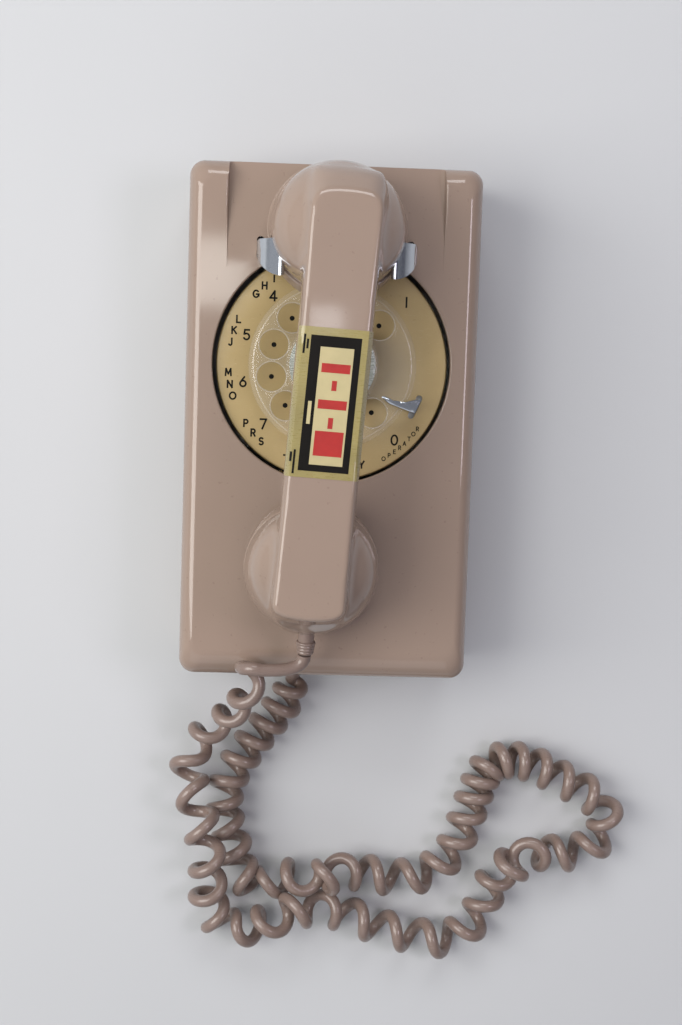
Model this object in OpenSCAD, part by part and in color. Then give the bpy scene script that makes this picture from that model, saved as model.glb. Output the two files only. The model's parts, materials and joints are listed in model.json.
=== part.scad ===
// Rotary dial wall telephone with a hung handset and a curly cord.
// It lies on its back: Z = 0 is the wall plane, +Z points out of the wall and +Y up the wall.

/* [Housing] */
// Width of the housing
body_w = 134; // [130:1:140]
// Height of the housing along the wall
body_h = 236; // [234:1:240]
// Distance from the wall to the housing's front face
body_d = 64; // [64:1:66]
// Wall thickness of the plastic housing
wall = 3; // [2:0.5:3.5]
// Radius of the housing's four corners seen from the front
corner_r = 7; // [5:1:9]
// Width of the shallow recess behind the ear cap
recess_w = 98; // [94:1:102]
// Slope of the recess floor against the wall plane, in degrees
recess_slope = 13; // [12:1:14]

/* [Dial] */
// Height of the dial's axis above the middle of the housing
dial_y = 27; // [26:1:28]
// Radius of the round opening in the housing
opening_r = 54.6; // [54:0.2:56]
// Radius of the printed number plate
plate_r = 52.8; // [52:0.2:53]
// Radius of the clear finger wheel
wheel_r = 38.1; // [37:0.1:39]
// Radius of the circle through the ten finger holes
hole_circle_r = 28.1; // [27.5:0.1:28.5]
// Radius of one finger hole
finger_hole_r = 6.5; // [6:0.1:6.8]

/* [Handset] */
// Distance between the middles of the two caps
handset_span = 148; // [146:1:152]
// Radius of the ear cap and the mouth cap
cap_r = 30.5; // [29.5:0.5:31]
// Height of a cap's rim
cap_h = 12; // [11:1:13]
// Tilt of each cap towards the other one, in degrees
cap_tilt = 11; // [10:1:12]
// Height of the ear cap's middle above the middle of the housing
ear_y = 85; // [84:1:86]
// Swing of the hanging handset, in degrees
handset_swing = 2.7; // [0:0.1:4]

/* [Cord] */
// Outer diameter of the curly cord's coil
coil_d = 20; // [17:0.5:20]
// Diameter of the cord itself
cord_d = 6; // [5:0.1:6]

/* [Wall mounting] */
// Distance between the two screws of a standard wall box
box_pitch = 83.3; // [80:0.1:90]
// Distance across between the four corner screws
corner_pitch_x = 100; // [90:1:104]
// Distance up the wall between the four corner screws
corner_pitch_y = 200; // [180:1:204]

/* [Hidden] */
$fn = 64;

// Housing levels
cover_gap = 0.3;
cover_screw_pos = [14, 22];
roll_side = 7;
roll_bottom = 13;
roll_top = 9;
roll_depth = 11;
recess_start_y = 83;
plate_t = 1.6;
plate_fit = 0.5;

// Dial levels along Z
frame_back_z = 22;
frame_flange_z = 54.5;
sheet_t = 1.5;
frame_r = 40;
bearing_z = 46;
number_z = 58.5;
wheel_z = 64.8;
wheel_t = 3;
shaft_r = 3;
fit = 0.04;

// Dial gear train
main_teeth = 54;
pinion_teeth = 12;
module_main = 0.7;
pulse_teeth = 36;
governor_teeth = 9;
module_fast = 0.5;
backlash = 0.16;
pulse_angle = 150;
pulse_dist = (main_teeth + pinion_teeth) * module_main / 2 + 0.1;
pulse_pos = [pulse_dist * cos(pulse_angle), dial_y + pulse_dist * sin(pulse_angle)];
governor_turn = 62;
governor_dist = (pulse_teeth + governor_teeth) * module_fast / 2 + 0.1;
governor_pos = pulse_pos + governor_dist * [cos(governor_turn), sin(governor_turn)];
stop_angle = -24;

// Hook levels
hook_y = 81;
hook_z = 16;
hook_x = 33;
hook_stem_t = 2;
hook_stem_y = 74.5;
hook_stem_w = 6;

// Ringer levels
gong_x = 33;
gong_y = -86;
gong_r = 26;
gong_top_z = 38;
clapper_y = -68;

// Loudness wheel, sticking out a little under the housing
volume_pos = [36, -body_h / 2 + 9.6];

// Handset placement; the flat back of the grip runs between the two ends
flat_ear_end = 11.2;
flat_mouth_end = -166.9;
cup_offset = 2.3;
ear_z = 64.5;
lean = recess_slope - cap_tilt;
steel = "#9a9c9e";
chrome = "#d8dade";
brass = "#b8954a";
shell = "#a59484";
cream = "#c3b28a";
dark = "#2c2b2a";

// Cord routes: round points chosen by hand
exit_pos = [-12, -121.5, 12];
exit_length = 8.1;
coil_route = [
  [-31, -106, 78], [-33, -118, 71], [-36, -128, 61], [-40, -136, 49], [-46, -144, 36],
  [-54, -153, 25], [-61, -164, 18], [-63, -176, 18], [-59, -189, 24], [-55, -202, 28],
  [-53, -215, 27], [-52, -228, 23], [-52, -241, 16], [-47, -253, 11], [-38, -258, 10.5],
  [-29, -256, 12], [-20, -251, 17], [-11, -245, 21], [0, -244, 19], [11, -247, 13],
  [24, -252, 10.5], [38, -257, 10.5], [52, -260, 10.5], [66, -262, 10.5], [78, -257, 10.5],
  [86, -246, 10.5], [91, -233, 10.5], [98, -219, 10.5], [111, -215, 10.5], [125, -216, 10.5],
  [139, -213, 10.5], [148, -203, 10.5], [146, -191, 10.5], [136, -183, 10.5], [124, -177, 10.5],
  [112, -171, 10.5], [99, -168, 10.5], [88, -171, 10.5], [82, -183, 10.5], [77, -199, 10.5],
  [70, -216, 10.5], [58, -227, 10.5], [43, -230, 10.5], [27, -228, 10.5], [12, -226, 10.5],
  [-3, -227, 10.5], [-18, -232, 10.5], [-29, -235, 10.5], [-37, -226, 10.5], [-41, -212, 10.5],
  [-45, -198, 10.5], [-44, -183, 10.5], [-37, -169, 10.5], [-28, -156, 10.5], [-19, -144, 11],
  [-12.5, -133, 12], [-12, -122.6, 12]
];
lead_route = [
  [-9, -103, 82.8], [-9.6, -106, 82.2], [-13, -108.8, 82.2], [-20, -110.2, 82.8],
  [-31, -110.4, 83.3]
];

// ---------- shared shapes ----------

// Straight-sided block with round corners, made of exact faces
module round_block(w, h, t, r) {
  translate([-w / 2 + r, -h / 2, 0]) cube([w - 2 * r, h, t]);
  translate([-w / 2, -h / 2 + r, 0]) cube([w, h - 2 * r, t]);
  for (sx = [-1, 1]) {
    for (sy = [-1, 1]) {
      translate([sx * (w / 2 - r), sy * (h / 2 - r), 0]) cylinder(r = r, h = t);
    }
  }
}

// Tube between two radii
module tube(r_out, r_in, h) {
  difference() {
    cylinder(r = r_out, h = h);
    translate([0, 0, -1]) cylinder(r = r_in, h = h + 2);
  }
}

// Side profile (Y, Z) drawn out along X
module along_x(w) {
  translate([-w / 2, 0, 0])
    rotate([90, 0, 90])
      linear_extrude(w)
        children();
}

// Gear with straight-flanked teeth, thinned a little so that the teeth run free
function tooth_points(n, m, i) = let (
    pitch_r = n * m / 2,
    a = 360 * i / n,
    half = 90 / n - backlash / pitch_r * 28.65
  ) [
    for (p = [[-m * 1.15, -1.55], [0, -1], [m * 0.85, -0.5], [m * 0.85, 0.5], [0, 1], [-m * 1.15, 1.55]])
      (pitch_r + p[0]) * [cos(a + half * p[1]), sin(a + half * p[1])]
  ];

module gear(n, m, t, turn = 0) {
  rotate(turn)
    linear_extrude(t)
      polygon([for (i = [0:n - 1]) each tooth_points(n, m, i)]);
}

// Slotted cheese-head screw with its head at Z = 0 and its shank below
module screw(head_r, head_h, shank_r, shank_l) {
  difference() {
    cylinder(r = head_r, h = head_h);
    translate([-head_r, -0.4, head_h * 0.5]) cube([2 * head_r, 0.8, head_h]);
  }
  translate([0, 0, -shank_l]) cylinder(r = shank_r, h = shank_l);
}

// Tube swept along points, one ring of corners at every point
function unit(v) = v / norm(v);
function tangent(pts, i) = unit(pts[min(i + 1, len(pts) - 1)] - pts[max(i - 1, 0)]);
function ring(p, t, r, n) = let (
    side = unit(cross(t, abs(t[2]) < 0.9 ? [0, 0, 1] : [0, 1, 0])),
    up = cross(side, t)
  ) [for (k = [0:n - 1]) p + r * (side * cos(360 * k / n) + up * sin(360 * k / n))];
function bend(p, a, b) = let (
    p0 = p[max(a - 1, 0)],
    p1 = p[a],
    p2 = p[min(a + 1, len(p) - 1)],
    p3 = p[min(a + 2, len(p) - 1)]
  ) 0.5 * (2 * p1 + (p2 - p0) * b + (2 * p0 - 5 * p1 + 4 * p2 - p3) * b * b
    + (3 * p1 - p0 - 3 * p2 + p3) * b * b * b);

module swept_tube(pts, r, n) {
  last = len(pts) - 1;
  corners = [for (i = [0:last]) each ring(pts[i], tangent(pts, i), r, n)];
  sides = [
    for (i = [0:last - 1])
      for (k = [0:n - 1])
        [i * n + k, i * n + (k + 1) % n, (i + 1) * n + (k + 1) % n, (i + 1) * n + k]
  ];
  start = [[for (k = [n - 1:-1:0]) k]];
  end = [[for (k = [0:n - 1]) last * n + k]];
  polyhedron(points = corners, faces = concat(sides, start, end), convexity = 8);
}

// ---------- housing ----------

// Front of the housing, whose edges roll over towards the flat face
module housing_front() {
  steps = 5;
  hull() {
    for (i = [0:steps]) {
      t = 90 * i / steps;
      side = roll_side * (1 - cos(t));
      low = roll_bottom * (1 - cos(t));
      high = roll_top * (1 - cos(t));
      for (sx = [-1, 1]) {
        translate([sx * (body_w / 2 - side - corner_r), 0, body_d - roll_depth * (1 - sin(t))]) {
          translate([0, body_h / 2 - high - corner_r, -0.01])
            cylinder(r = corner_r, h = 0.01, $fn = 32);
          translate([0, -body_h / 2 + low + corner_r, -0.01])
            cylinder(r = corner_r, h = 0.01, $fn = 32);
        }
      }
    }
  }
}

function recess_floor(y) = body_d - (y - recess_start_y) * tan(recess_slope);

// Space above the sloping recess floor
module recess_space() {
  low_y = recess_start_y - 10;
  top_y = body_h / 2 + 20;
  along_x(recess_w)
    polygon([
      [low_y, recess_floor(low_y)],
      [top_y, recess_floor(top_y)],
      [top_y, body_d + 30],
      [low_y, body_d + 30]
    ]);
}

// Floor and side walls of the recess, joined to the front panel from behind
module recess_backing() {
  low_y = recess_start_y - 2;
  high_y = body_h / 2 - roll_top - 1;
  along_x(recess_w + 2 * wall)
    polygon([
      [low_y, recess_floor(low_y) - wall],
      [high_y, recess_floor(high_y) - wall],
      [high_y, body_d - wall + 0.5],
      [low_y, body_d - wall + 0.5]
    ]);
}

module cover() {
  roll_z = body_d - roll_depth;
  vent_x = -54;
  color(shell)
    difference() {
      union() {
        difference() {
          union() {
            translate([0, 0, cover_gap]) round_block(body_w, body_h, roll_z - cover_gap, corner_r);
            housing_front();
          }
          translate([0, 0, -1])
            round_block(body_w - 2 * wall, body_h - 2 * wall, roll_z + 1, corner_r - wall);
          translate([-body_w / 2 + roll_side + 2, -body_h / 2 + roll_bottom + 1, roll_z - 1])
            cube([
              body_w - 2 * roll_side - 4,
              body_h - roll_bottom - roll_top - 3,
              roll_depth + 1 - wall
            ]);
        }
        recess_backing();
      }
      recess_space();
      translate([0, dial_y, body_d - wall - 6]) cylinder(r = opening_r, h = 20);
      for (sx = [-1, 1]) {
        translate([sx * (hook_x + hook_stem_t / 2) - 1.7, hook_stem_y - 0.9, 50])
          cube([3.4, hook_stem_w + 4.4, 30]);
      }
      translate([exit_pos[0], -body_h / 2 - 5, exit_pos[2]])
        rotate([-90, 0, 0])
          cylinder(r = 6, h = 14);
      translate([cover_screw_pos[0], -body_h / 2 - 5, cover_screw_pos[1]])
        rotate([-90, 0, 0])
          cylinder(r = 2.2, h = 14);
      translate([volume_pos[0] - 10, -body_h / 2 - 5, 7]) cube([20, 14, 5]);
      for (i = [0:4]) {
        translate([vent_x + 6 * i, -body_h / 2 - 5, 12]) cube([2.6, 14, 24]);
      }
    }
}

module base_plate() {
  w = body_w - 2 * wall - 2 * plate_fit;
  h = body_h - 2 * wall - 2 * plate_fit;
  color(steel)
    difference() {
      union() {
        round_block(w, h, plate_t, 4);
        difference() {
          round_block(w, h, 7, 4);
          translate([0, 0, -1]) round_block(w - 2 * plate_t, h - 2 * plate_t, 12, 2.5);
          translate([exit_pos[0] - 8, -body_h / 2, plate_t]) cube([16, 20, 20]);
          translate([24, -body_h / 2, plate_t]) cube([24, 20, 20]);
        }
        translate([volume_pos[0], volume_pos[1], 0]) cylinder(r = 2, h = 12.4);
        translate([volume_pos[0], volume_pos[1], 0]) cylinder(r = 4, h = 7.4);
        translate([8, -h / 2, 0]) cube([12, plate_t, 28]);
        translate([-20, h / 2 - plate_t, 0]) cube([40, plate_t, 30]);
      }
      for (sx = [-1, 1]) {
        for (sy = [-1, 1]) {
          translate([sx * corner_pitch_x / 2, sy * corner_pitch_y / 2, -1])
            cylinder(r = 2.3, h = 4);
        }
      }
      for (sy = [-1, 1]) {
        translate([0, sy * box_pitch / 2, -1]) cylinder(r = 2.3, h = 4);
      }
      translate([0, 5, -1]) cylinder(r = 11, h = 4);
      translate([14, -h / 2 - 5, 22]) rotate([-90, 0, 0]) cylinder(r = 1.9, h = 14);
    }
}

module cover_screw() {
  color(steel)
    translate([cover_screw_pos[0], -body_h / 2, cover_screw_pos[1]])
      rotate([90, 0, 0])
        screw(3.6, 1.8, 1.85, 8);
}

// ---------- dial ----------

module on_dial(z) {
  translate([0, dial_y, z]) children();
}

module number_plate() {
  color(cream)
    on_dial(number_z)
      difference() {
        cylinder(r = plate_r, h = sheet_t, $fn = 128);
        translate([0, 0, -1]) cylinder(r = 9.5, h = 4);
        rotate(stop_angle)
          translate([wheel_r + 4.5, 0, -1]) {
            translate([-1.5, -4.7, 0]) cube([3, 8.6, 4]);
            for (y = [-4.7, 3.9]) {
              translate([0, y, 0]) cylinder(r = 1.5, h = 4);
            }
          }
      }
}

module dial_frame() {
  color(steel)
    difference() {
      union() {
        on_dial(frame_back_z) tube(frame_r, frame_r - sheet_t, frame_flange_z - frame_back_z + 1);
        on_dial(frame_back_z) cylinder(r = frame_r, h = 2);
        on_dial(frame_flange_z) tube(48, frame_r - sheet_t, sheet_t);
        on_dial(frame_flange_z) tube(48, 46, number_z - frame_flange_z);
      }
      on_dial(frame_back_z - 1) cylinder(r = shaft_r + fit, h = 4);
      translate([pulse_pos[0], pulse_pos[1], frame_back_z - 1]) cylinder(r = 1.5 + fit, h = 4);
      translate([governor_pos[0], governor_pos[1], frame_back_z - 1])
        cylinder(r = 1 + fit, h = 4);
      for (a = [0, 180]) {
        on_dial(frame_flange_z - 1) rotate(a) translate([43, 0, 0]) cylinder(r = 1.6, h = 3);
      }
    }
}

module dial_front_plate() {
  color(brass)
    difference() {
      on_dial(bearing_z) cylinder(r = frame_r - sheet_t - 0.03, h = 2);
      on_dial(bearing_z - 1) cylinder(r = shaft_r + fit, h = 4);
      translate([pulse_pos[0], pulse_pos[1], bearing_z - 1]) cylinder(r = 1.5 + fit, h = 4);
      translate([governor_pos[0], governor_pos[1], bearing_z - 1]) cylinder(r = 1 + fit, h = 4);
      on_dial(bearing_z - 1)
        for (a = [-30, 70]) {
          rotate(a) translate([27, 0, 0]) cylinder(r = 6, h = 4);
        }
    }
}

module dial_bracket() {
  seat_z = frame_flange_z - sheet_t;
  color(steel)
    difference() {
      for (sx = [-1, 1]) {
        translate([sx * 50 - 0.8, dial_y - 9, plate_t]) cube([1.6, 18, seat_z]);
        translate([min(sx * 41, sx * 50.8), dial_y - 9, seat_z]) cube([9.8, 18, sheet_t]);
        translate([min(sx * 42, sx * 50.8), dial_y - 9, plate_t]) cube([8.8, 18, sheet_t]);
      }
      for (a = [0, 180]) {
        on_dial(seat_z - 1) rotate(a) translate([43, 0, 0]) cylinder(r = 1.6, h = 4);
      }
    }
}

module dial_screws() {
  color(steel)
    for (a = [0, 180]) {
      on_dial(frame_flange_z + sheet_t)
        rotate(a)
          translate([43, 0, 0])
            screw(2.6, 1.4, 1.55, 5);
    }
}

// Chrome strip that rises through the number plate and hooks over the wheel's rim
module finger_stop() {
  base_z = frame_flange_z + sheet_t;
  arm_z = wheel_z + wheel_t + 0.6;
  riser_x = wheel_r + 3.4;
  riser_t = 1.4;
  color(chrome)
    on_dial(0)
      rotate(stop_angle)
        union() {
          translate([riser_x, -3.2, base_z]) cube([4.2, 6.4, 1.4]);
          translate([riser_x, -3.2, base_z]) cube([riser_t, 6.4, arm_z - base_z + 1.4]);
          translate([0, 0, arm_z])
            linear_extrude(1.4)
              polygon([
                [26.2, -2.6], [28.7, -1.9], [31.6, -1.9], [34.4, -1.7], [36.6, -0.7], [39, 1.4],
                [riser_x, 3.2], [riser_x + riser_t, 3.2], [riser_x + riser_t, -3.2],
                [40.2, -3.6], [36, -4], [31, -4.3], [28.2, -3.7]
              ]);
        }
}

module pulse_contacts() {
  block_angle = pulse_angle + 52;
  color(dark)
    on_dial(frame_back_z + 2)
      rotate(block_angle)
        translate([23, -4, 0])
          cube([11, 8, 7]);
  color(brass)
    for (i = [0:2]) {
      on_dial(frame_back_z + 9)
        rotate(block_angle)
          translate([24 + 3 * i, -3.5, 0])
            cube([0.8, 7, 6 - 1.5 * i]);
    }
}

module governor_drum() {
  color(brass)
    translate([governor_pos[0], governor_pos[1], bearing_z - 6.4])
      tube(8, 7, 6.4);
}

// Flat spiral drawn from the inner radius outwards
module spiral(r_in, r_out, turns, t, h) {
  steps = 22 * turns;
  grow = (r_out - r_in) / steps;
  linear_extrude(h)
    polygon(concat(
      [for (i = [0:steps]) (r_in + grow * i) * [cos(i * 360 / 22), sin(i * 360 / 22)]],
      [for (i = [steps:-1:0]) (r_in + t + grow * i) * [cos(i * 360 / 22), sin(i * 360 / 22)]]
    ));
}

module dial_spring() {
  color(steel)
    on_dial(frame_back_z + 2)
      spiral(4.2, 12, 5, 0.5, 4);
}

module dial_shaft() {
  color(steel)
    on_dial(frame_back_z)
      union() {
        cylinder(r = shaft_r, h = wheel_z - frame_back_z);
        translate([0, 0, number_z - frame_back_z + 2.2])
          cylinder(r = 9, h = wheel_z - number_z - 2.2);
      }
}

module dial_main_gear() {
  color(brass)
    on_dial(30)
      difference() {
        gear(main_teeth, module_main, 2.5, pulse_angle + 180 / main_teeth);
        translate([0, 0, -1]) cylinder(r = shaft_r, h = 5);
        for (a = [0:72:288]) {
          rotate(a) translate([11, 0, -1]) cylinder(r = 3.2, h = 5);
        }
      }
}

module finger_wheel() {
  color("#d9d4c4", 0.6)
    on_dial(wheel_z)
      difference() {
        rotate_extrude($fn = 128)
          polygon([
            [0, 0], [wheel_r - 0.6, 0], [wheel_r, 0.6], [wheel_r, 1.4],
            [wheel_r - 1.8, wheel_t], [0, wheel_t]
          ]);
        for (i = [0:9]) {
          rotate(42 + 30 * i) translate([hole_circle_r, 0, -1]) cylinder(r = finger_hole_r, h = 5);
        }
        translate([0, 0, -1]) cylinder(r = 1.5, h = 5);
      }
}

module number_card() {
  color("#e9e6dc")
    on_dial(wheel_z + wheel_t)
      cylinder(r = 19.5, h = 0.3);
}

module card_retainer() {
  color("#dfe2e4", 0.7)
    on_dial(wheel_z + wheel_t)
      rotate_extrude($fn = 96)
        polygon([
          [19.7, 0], [21.2, 0], [21.2, 0.9], [20.2, 1.7], [0, 2], [0, 0.5], [19.7, 0.5]
        ]);
}

module pulse_shaft() {
  color(steel)
    translate([pulse_pos[0], pulse_pos[1], frame_back_z])
      union() {
        cylinder(r = 1.5, h = 26);
        translate([0, 0, 7.5]) gear(pinion_teeth, module_main, 4, pulse_angle + 180);
      }
}

module pulse_gear() {
  color(brass)
    translate([pulse_pos[0], pulse_pos[1], 35.2])
      difference() {
        gear(pulse_teeth, module_fast, 2, governor_turn);
        translate([0, 0, -1]) cylinder(r = 1.5, h = 4);
        for (a = [0:120:240]) {
          rotate(a) translate([5, 0, -1]) cylinder(r = 2, h = 4);
        }
      }
}

module pulse_cam() {
  color(dark)
    translate([pulse_pos[0], pulse_pos[1], frame_back_z + 2.2])
      difference() {
        union() {
          cylinder(r = 3.4, h = 3);
          translate([2.4, 0, 0]) cylinder(r = 2.4, h = 3);
          translate([-2.4, 0, 0]) cylinder(r = 2.4, h = 3);
        }
        translate([0, 0, -1]) cylinder(r = 1.5, h = 5);
      }
}

module governor_shaft() {
  color(steel)
    translate([governor_pos[0], governor_pos[1], frame_back_z])
      union() {
        cylinder(r = 1, h = 26);
        translate([0, 0, 12.4])
          gear(governor_teeth, module_fast, 3.6, governor_turn + 180 + 180 / governor_teeth);
      }
}

module governor_weights() {
  color(brass)
    translate([governor_pos[0], governor_pos[1], bearing_z - 5])
      difference() {
        union() {
          cylinder(r = 2.4, h = 3.6);
          translate([-6, -0.6, 0]) cube([12, 1.2, 3.6]);
          for (a = [0, 180]) {
            rotate(a)
              rotate_extrude(angle = 70)
                translate([5, 0])
                  square([1.6, 3.6]);
          }
        }
        translate([0, 0, -1]) cylinder(r = 1, h = 6);
      }
}

// ---------- inner works ----------

module network_block() {
  color("#4d4a45")
    translate([-22, -33, plate_t])
      difference() {
        round_block(74, 38, 30, 3);
        for (sx = [-1, 1]) {
          translate([sx * 33, -15, 28]) cylinder(r = 1.2, h = 4);
        }
      }
}

module network_terminals() {
  color(brass)
    for (i = [0:6]) {
      for (j = [0:1]) {
        translate([-49 + 9 * i, -40 + 14 * j, plate_t + 30])
          difference() {
            cylinder(r = 2.4, h = 1.8);
            translate([-2.4, -0.4, 0.9]) cube([4.8, 0.8, 1.8]);
          }
      }
    }
}

module ringer_frame() {
  color(steel)
    difference() {
      union() {
        translate([-44, -103, plate_t]) cube([88, 45, sheet_t]);
        for (sx = [-1, 1]) {
          translate([sx * gong_x, gong_y, plate_t]) cylinder(r = 3.5, h = gong_top_z - plate_t - sheet_t - 0.1);
        }
        translate([0, clapper_y, plate_t]) cylinder(r = 1.5, h = 25);
      }
      for (sx = [-1, 1]) {
        translate([sx * gong_x, gong_y, gong_top_z - 12]) cylinder(r = 1.5, h = 14);
        translate([sx * 40, -64, -1]) cylinder(r = 1.6, h = 6);
      }
    }
}

module ringer_coil() {
  coil_y = -58.6;
  color("#7a3b24")
    translate([-14, coil_y, 12.6])
      rotate([0, 90, 0])
        cylinder(r = 5, h = 28);
  color(dark)
    for (sx = [-1, 1]) {
      translate([sx * 14.6 - 0.6, coil_y - 5, 3.1]) cube([1.2, 10.4, 16]);
    }
  color(steel)
    for (sx = [-1, 1]) {
      translate([sx * 16.7 - 1.5, coil_y - 5, 7]) cube([3, 9, 9]);
    }
}

module gong(size_r) {
  color(brass)
    translate([0, 0, gong_top_z - 16])
      rotate_extrude($fn = 96)
        polygon([
          [size_r - 1.6, 0], [size_r, 0], [size_r - 0.4, 6], [size_r - 4, 13.4], [size_r - 9, 16],
          [1.6, 16], [1.6, 14.4], [size_r - 9.6, 14.4], [size_r - 5.4, 12.2], [size_r - 2, 5.6]
        ]);
}

module gong_high() {
  translate([-gong_x, gong_y, 0]) gong(gong_r - 0.6);
}

module gong_low() {
  translate([gong_x, gong_y, 0]) gong(gong_r);
}

module gong_screws() {
  color(steel)
    for (sx = [-1, 1]) {
      translate([sx * gong_x, gong_y, gong_top_z]) screw(3.4, 1.8, 1.45, 11);
    }
}

module clapper_armature() {
  color(steel)
    difference() {
      union() {
        translate([0, clapper_y, 5]) cylinder(r = 3, h = 22);
        translate([-17.5, clapper_y - 1.2, 7]) cube([35, 2.4, 9]);
        translate([-1, clapper_y - 22, 24]) cube([2, 22, 1.6]);
      }
      translate([0, clapper_y, 0]) cylinder(r = 1.5 + fit, h = 30);
    }
}

module clapper_ball() {
  color(brass)
    translate([0, clapper_y - 25, 24.8])
      sphere(r = 3.02, $fn = 40);
}

module volume_wheel() {
  color(dark)
    translate([volume_pos[0], volume_pos[1], 7.6])
      difference() {
        cylinder(r = 11.5, h = 3.6);
        translate([0, 0, -1]) cylinder(r = 2 + fit, h = 6);
        for (a = [0:20:340]) {
          rotate(a) translate([11.9, 0, -1]) cylinder(r = 0.9, h = 6, $fn = 16);
        }
      }
}

// ---------- hook switch ----------

module hook_bracket() {
  color(steel)
    difference() {
      union() {
        translate([-43, hook_y - 8, plate_t]) cube([86, 22, sheet_t]);
        for (sx = [-1, 1]) {
          translate([sx * 42.2 - 0.8, hook_y - 6, plate_t]) cube([1.6, 12, hook_z + 4]);
        }
      }
      translate([-50, hook_y, hook_z]) rotate([0, 90, 0]) cylinder(r = 2, h = 100);
      for (sx = [-1, 1]) {
        translate([sx * 30, hook_y + 9, -1]) cylinder(r = 1.6, h = 6);
      }
    }
}

module hook_pivot_pin() {
  color(steel)
    translate([-45, hook_y, hook_z])
      rotate([0, 90, 0])
        cylinder(r = 2, h = 90);
}

module hook_spring() {
  color(steel)
    for (i = [-4:4]) {
      translate([1.7 * i, hook_y, hook_z])
        rotate([0, 90, 0])
          rotate_extrude()
            translate([2.9, 0])
              circle(r = 0.75, $fn = 16);
    }
}

module hook_contacts() {
  color(dark)
    translate([-18, hook_y + 12.2, plate_t + sheet_t])
      difference() {
        cube([24, 14, 14]);
        translate([12, 7, -1]) cylinder(r = 1.5, h = 20);
      }
  color(brass)
    for (i = [0:3]) {
      translate([-16 + 5.6 * i, hook_y + 17, plate_t + sheet_t + 14]) cube([2.4, 0.5, 12]);
      translate([-16 + 5.6 * i, hook_y + 21, plate_t + sheet_t + 14]) cube([2.4, 0.5, 9]);
    }
}

// Curved prong that leans in over the ear cap's rim, with a rounded lower corner
module prong(sx) {
  profile = [
    [24.4, 95.6], [26.8, 94.2], [29.6, 90.8], [32.2, 86], [34.2, 80.4], [35, 75], [35, 66],
    [33, 66], [33, 74.6], [32.3, 79.4], [30.6, 84.4], [28.2, 88.8], [25.8, 91.8], [23.9, 93.4]
  ];
  outline = [
    [23.5, 65.2], [26, 64.9], [29.5, 66.3], [32.6, 68.8], [34.6, 72], [35.4, 76], [35.4, 79.8],
    [34.2, 81], [23.5, 81]
  ];
  scale([sx, 1, 1])
    intersection() {
      translate([0, 85, 0])
        rotate([90, 0, 0])
          linear_extrude(24)
            polygon(profile);
      translate([0, 0, 60])
        linear_extrude(40)
          polygon(outline);
    }
}

module hook_lever() {
  arm_top = hook_z + 14;
  color(chrome)
    difference() {
      union() {
        for (sx = [-1, 1]) {
          prong(sx);
          translate([sx * (hook_x + hook_stem_t / 2) - hook_stem_t / 2, hook_y - 4, hook_z - 4])
            cube([hook_stem_t, 8, arm_top - hook_z + 4]);
          translate([sx * (hook_x + hook_stem_t / 2) - hook_stem_t / 2, hook_stem_y, arm_top - 6])
            cube([hook_stem_t, hook_stem_w, 46]);
        }
        translate([-hook_x, hook_y - 4, hook_z + 5]) cube([2 * hook_x, 8, 2]);
      }
      translate([-50, hook_y, hook_z]) rotate([0, 90, 0]) cylinder(r = 2 + fit, h = 100);
    }
}

// ---------- handset ----------

// Handset frame: origin at the ear cap's face, the mouth end towards -Y
module on_handset() {
  translate([0, ear_y, ear_z])
    rotate([0, 0, -handset_swing])
      rotate([-lean, 0, 0])
        children();
}

module on_ear() {
  rotate([-cap_tilt, 0, 0]) children();
}

module on_mouth() {
  translate([0, -handset_span, 0])
    rotate([cap_tilt, 0, 0])
      children();
}

// Cap with a round edge, a flat face at Z = 0 and a hollow that opens upwards
module cap_shell() {
  difference() {
    rotate_extrude($fn = 96)
      polygon(concat(
        [[0, 0]],
        [for (t = [0:15:90]) [cap_r - 3 + 3 * sin(t), 3 - 3 * cos(t)]],
        [[cap_r, cap_h - 0.8], [cap_r - 0.8, cap_h], [0, cap_h]]
      ));
    translate([0, 0, 2.6]) cylinder(r = cap_r - 2.4, h = cap_h);
  }
}

module ear_cap() {
  color(shell)
    on_handset()
      on_ear()
        difference() {
          cap_shell();
          translate([0, 0, -1]) cylinder(r = 1.6, h = 5, $fn = 24);
          for (a = [0:60:300]) {
            rotate(a) translate([7, 0, -1]) cylinder(r = 1.6, h = 5, $fn = 24);
          }
        }
}

module mouth_cap() {
  color(shell)
    on_handset()
      on_mouth()
        difference() {
          cap_shell();
          for (k = [1:3]) {
            for (a = [0:60 / k:359]) {
              rotate(a) translate([5.5 * k, 0, -1]) cylinder(r = 1.2, h = 5, $fn = 16);
            }
          }
        }
}

module receiver_capsule() {
  color(steel)
    on_handset()
      on_ear()
        union() {
          translate([0, 0, 2.6]) cylinder(r = 24, h = 9);
          translate([0, 0, 11.6]) cylinder(r = 18, h = 5);
        }
}

module transmitter_capsule() {
  color(steel)
    on_handset()
      on_mouth()
        union() {
          translate([0, 0, 2.6]) cylinder(r = 24, h = 7);
          translate([0, 0, 9.6]) cylinder(r = 16, h = 4);
        }
}

module transmitter_cup() {
  color(dark)
    on_handset()
      on_mouth()
        difference() {
          union() {
            translate([0, 0, 9.7]) cylinder(r = 26, h = 5);
            translate([0, 0, 9.7]) cylinder(r = 24, h = 10);
          }
          translate([0, 0, 8]) cylinder(r = 24.2, h = 1.8);
          translate([0, 0, 8]) cylinder(r = 16.2, h = 9);
        }
}

// Grip seen from the side, with a gently arched back and a hollow underside
function arch(y, mid, rise, half) = rise * (1 - pow((y - mid) / half, 2));

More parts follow.
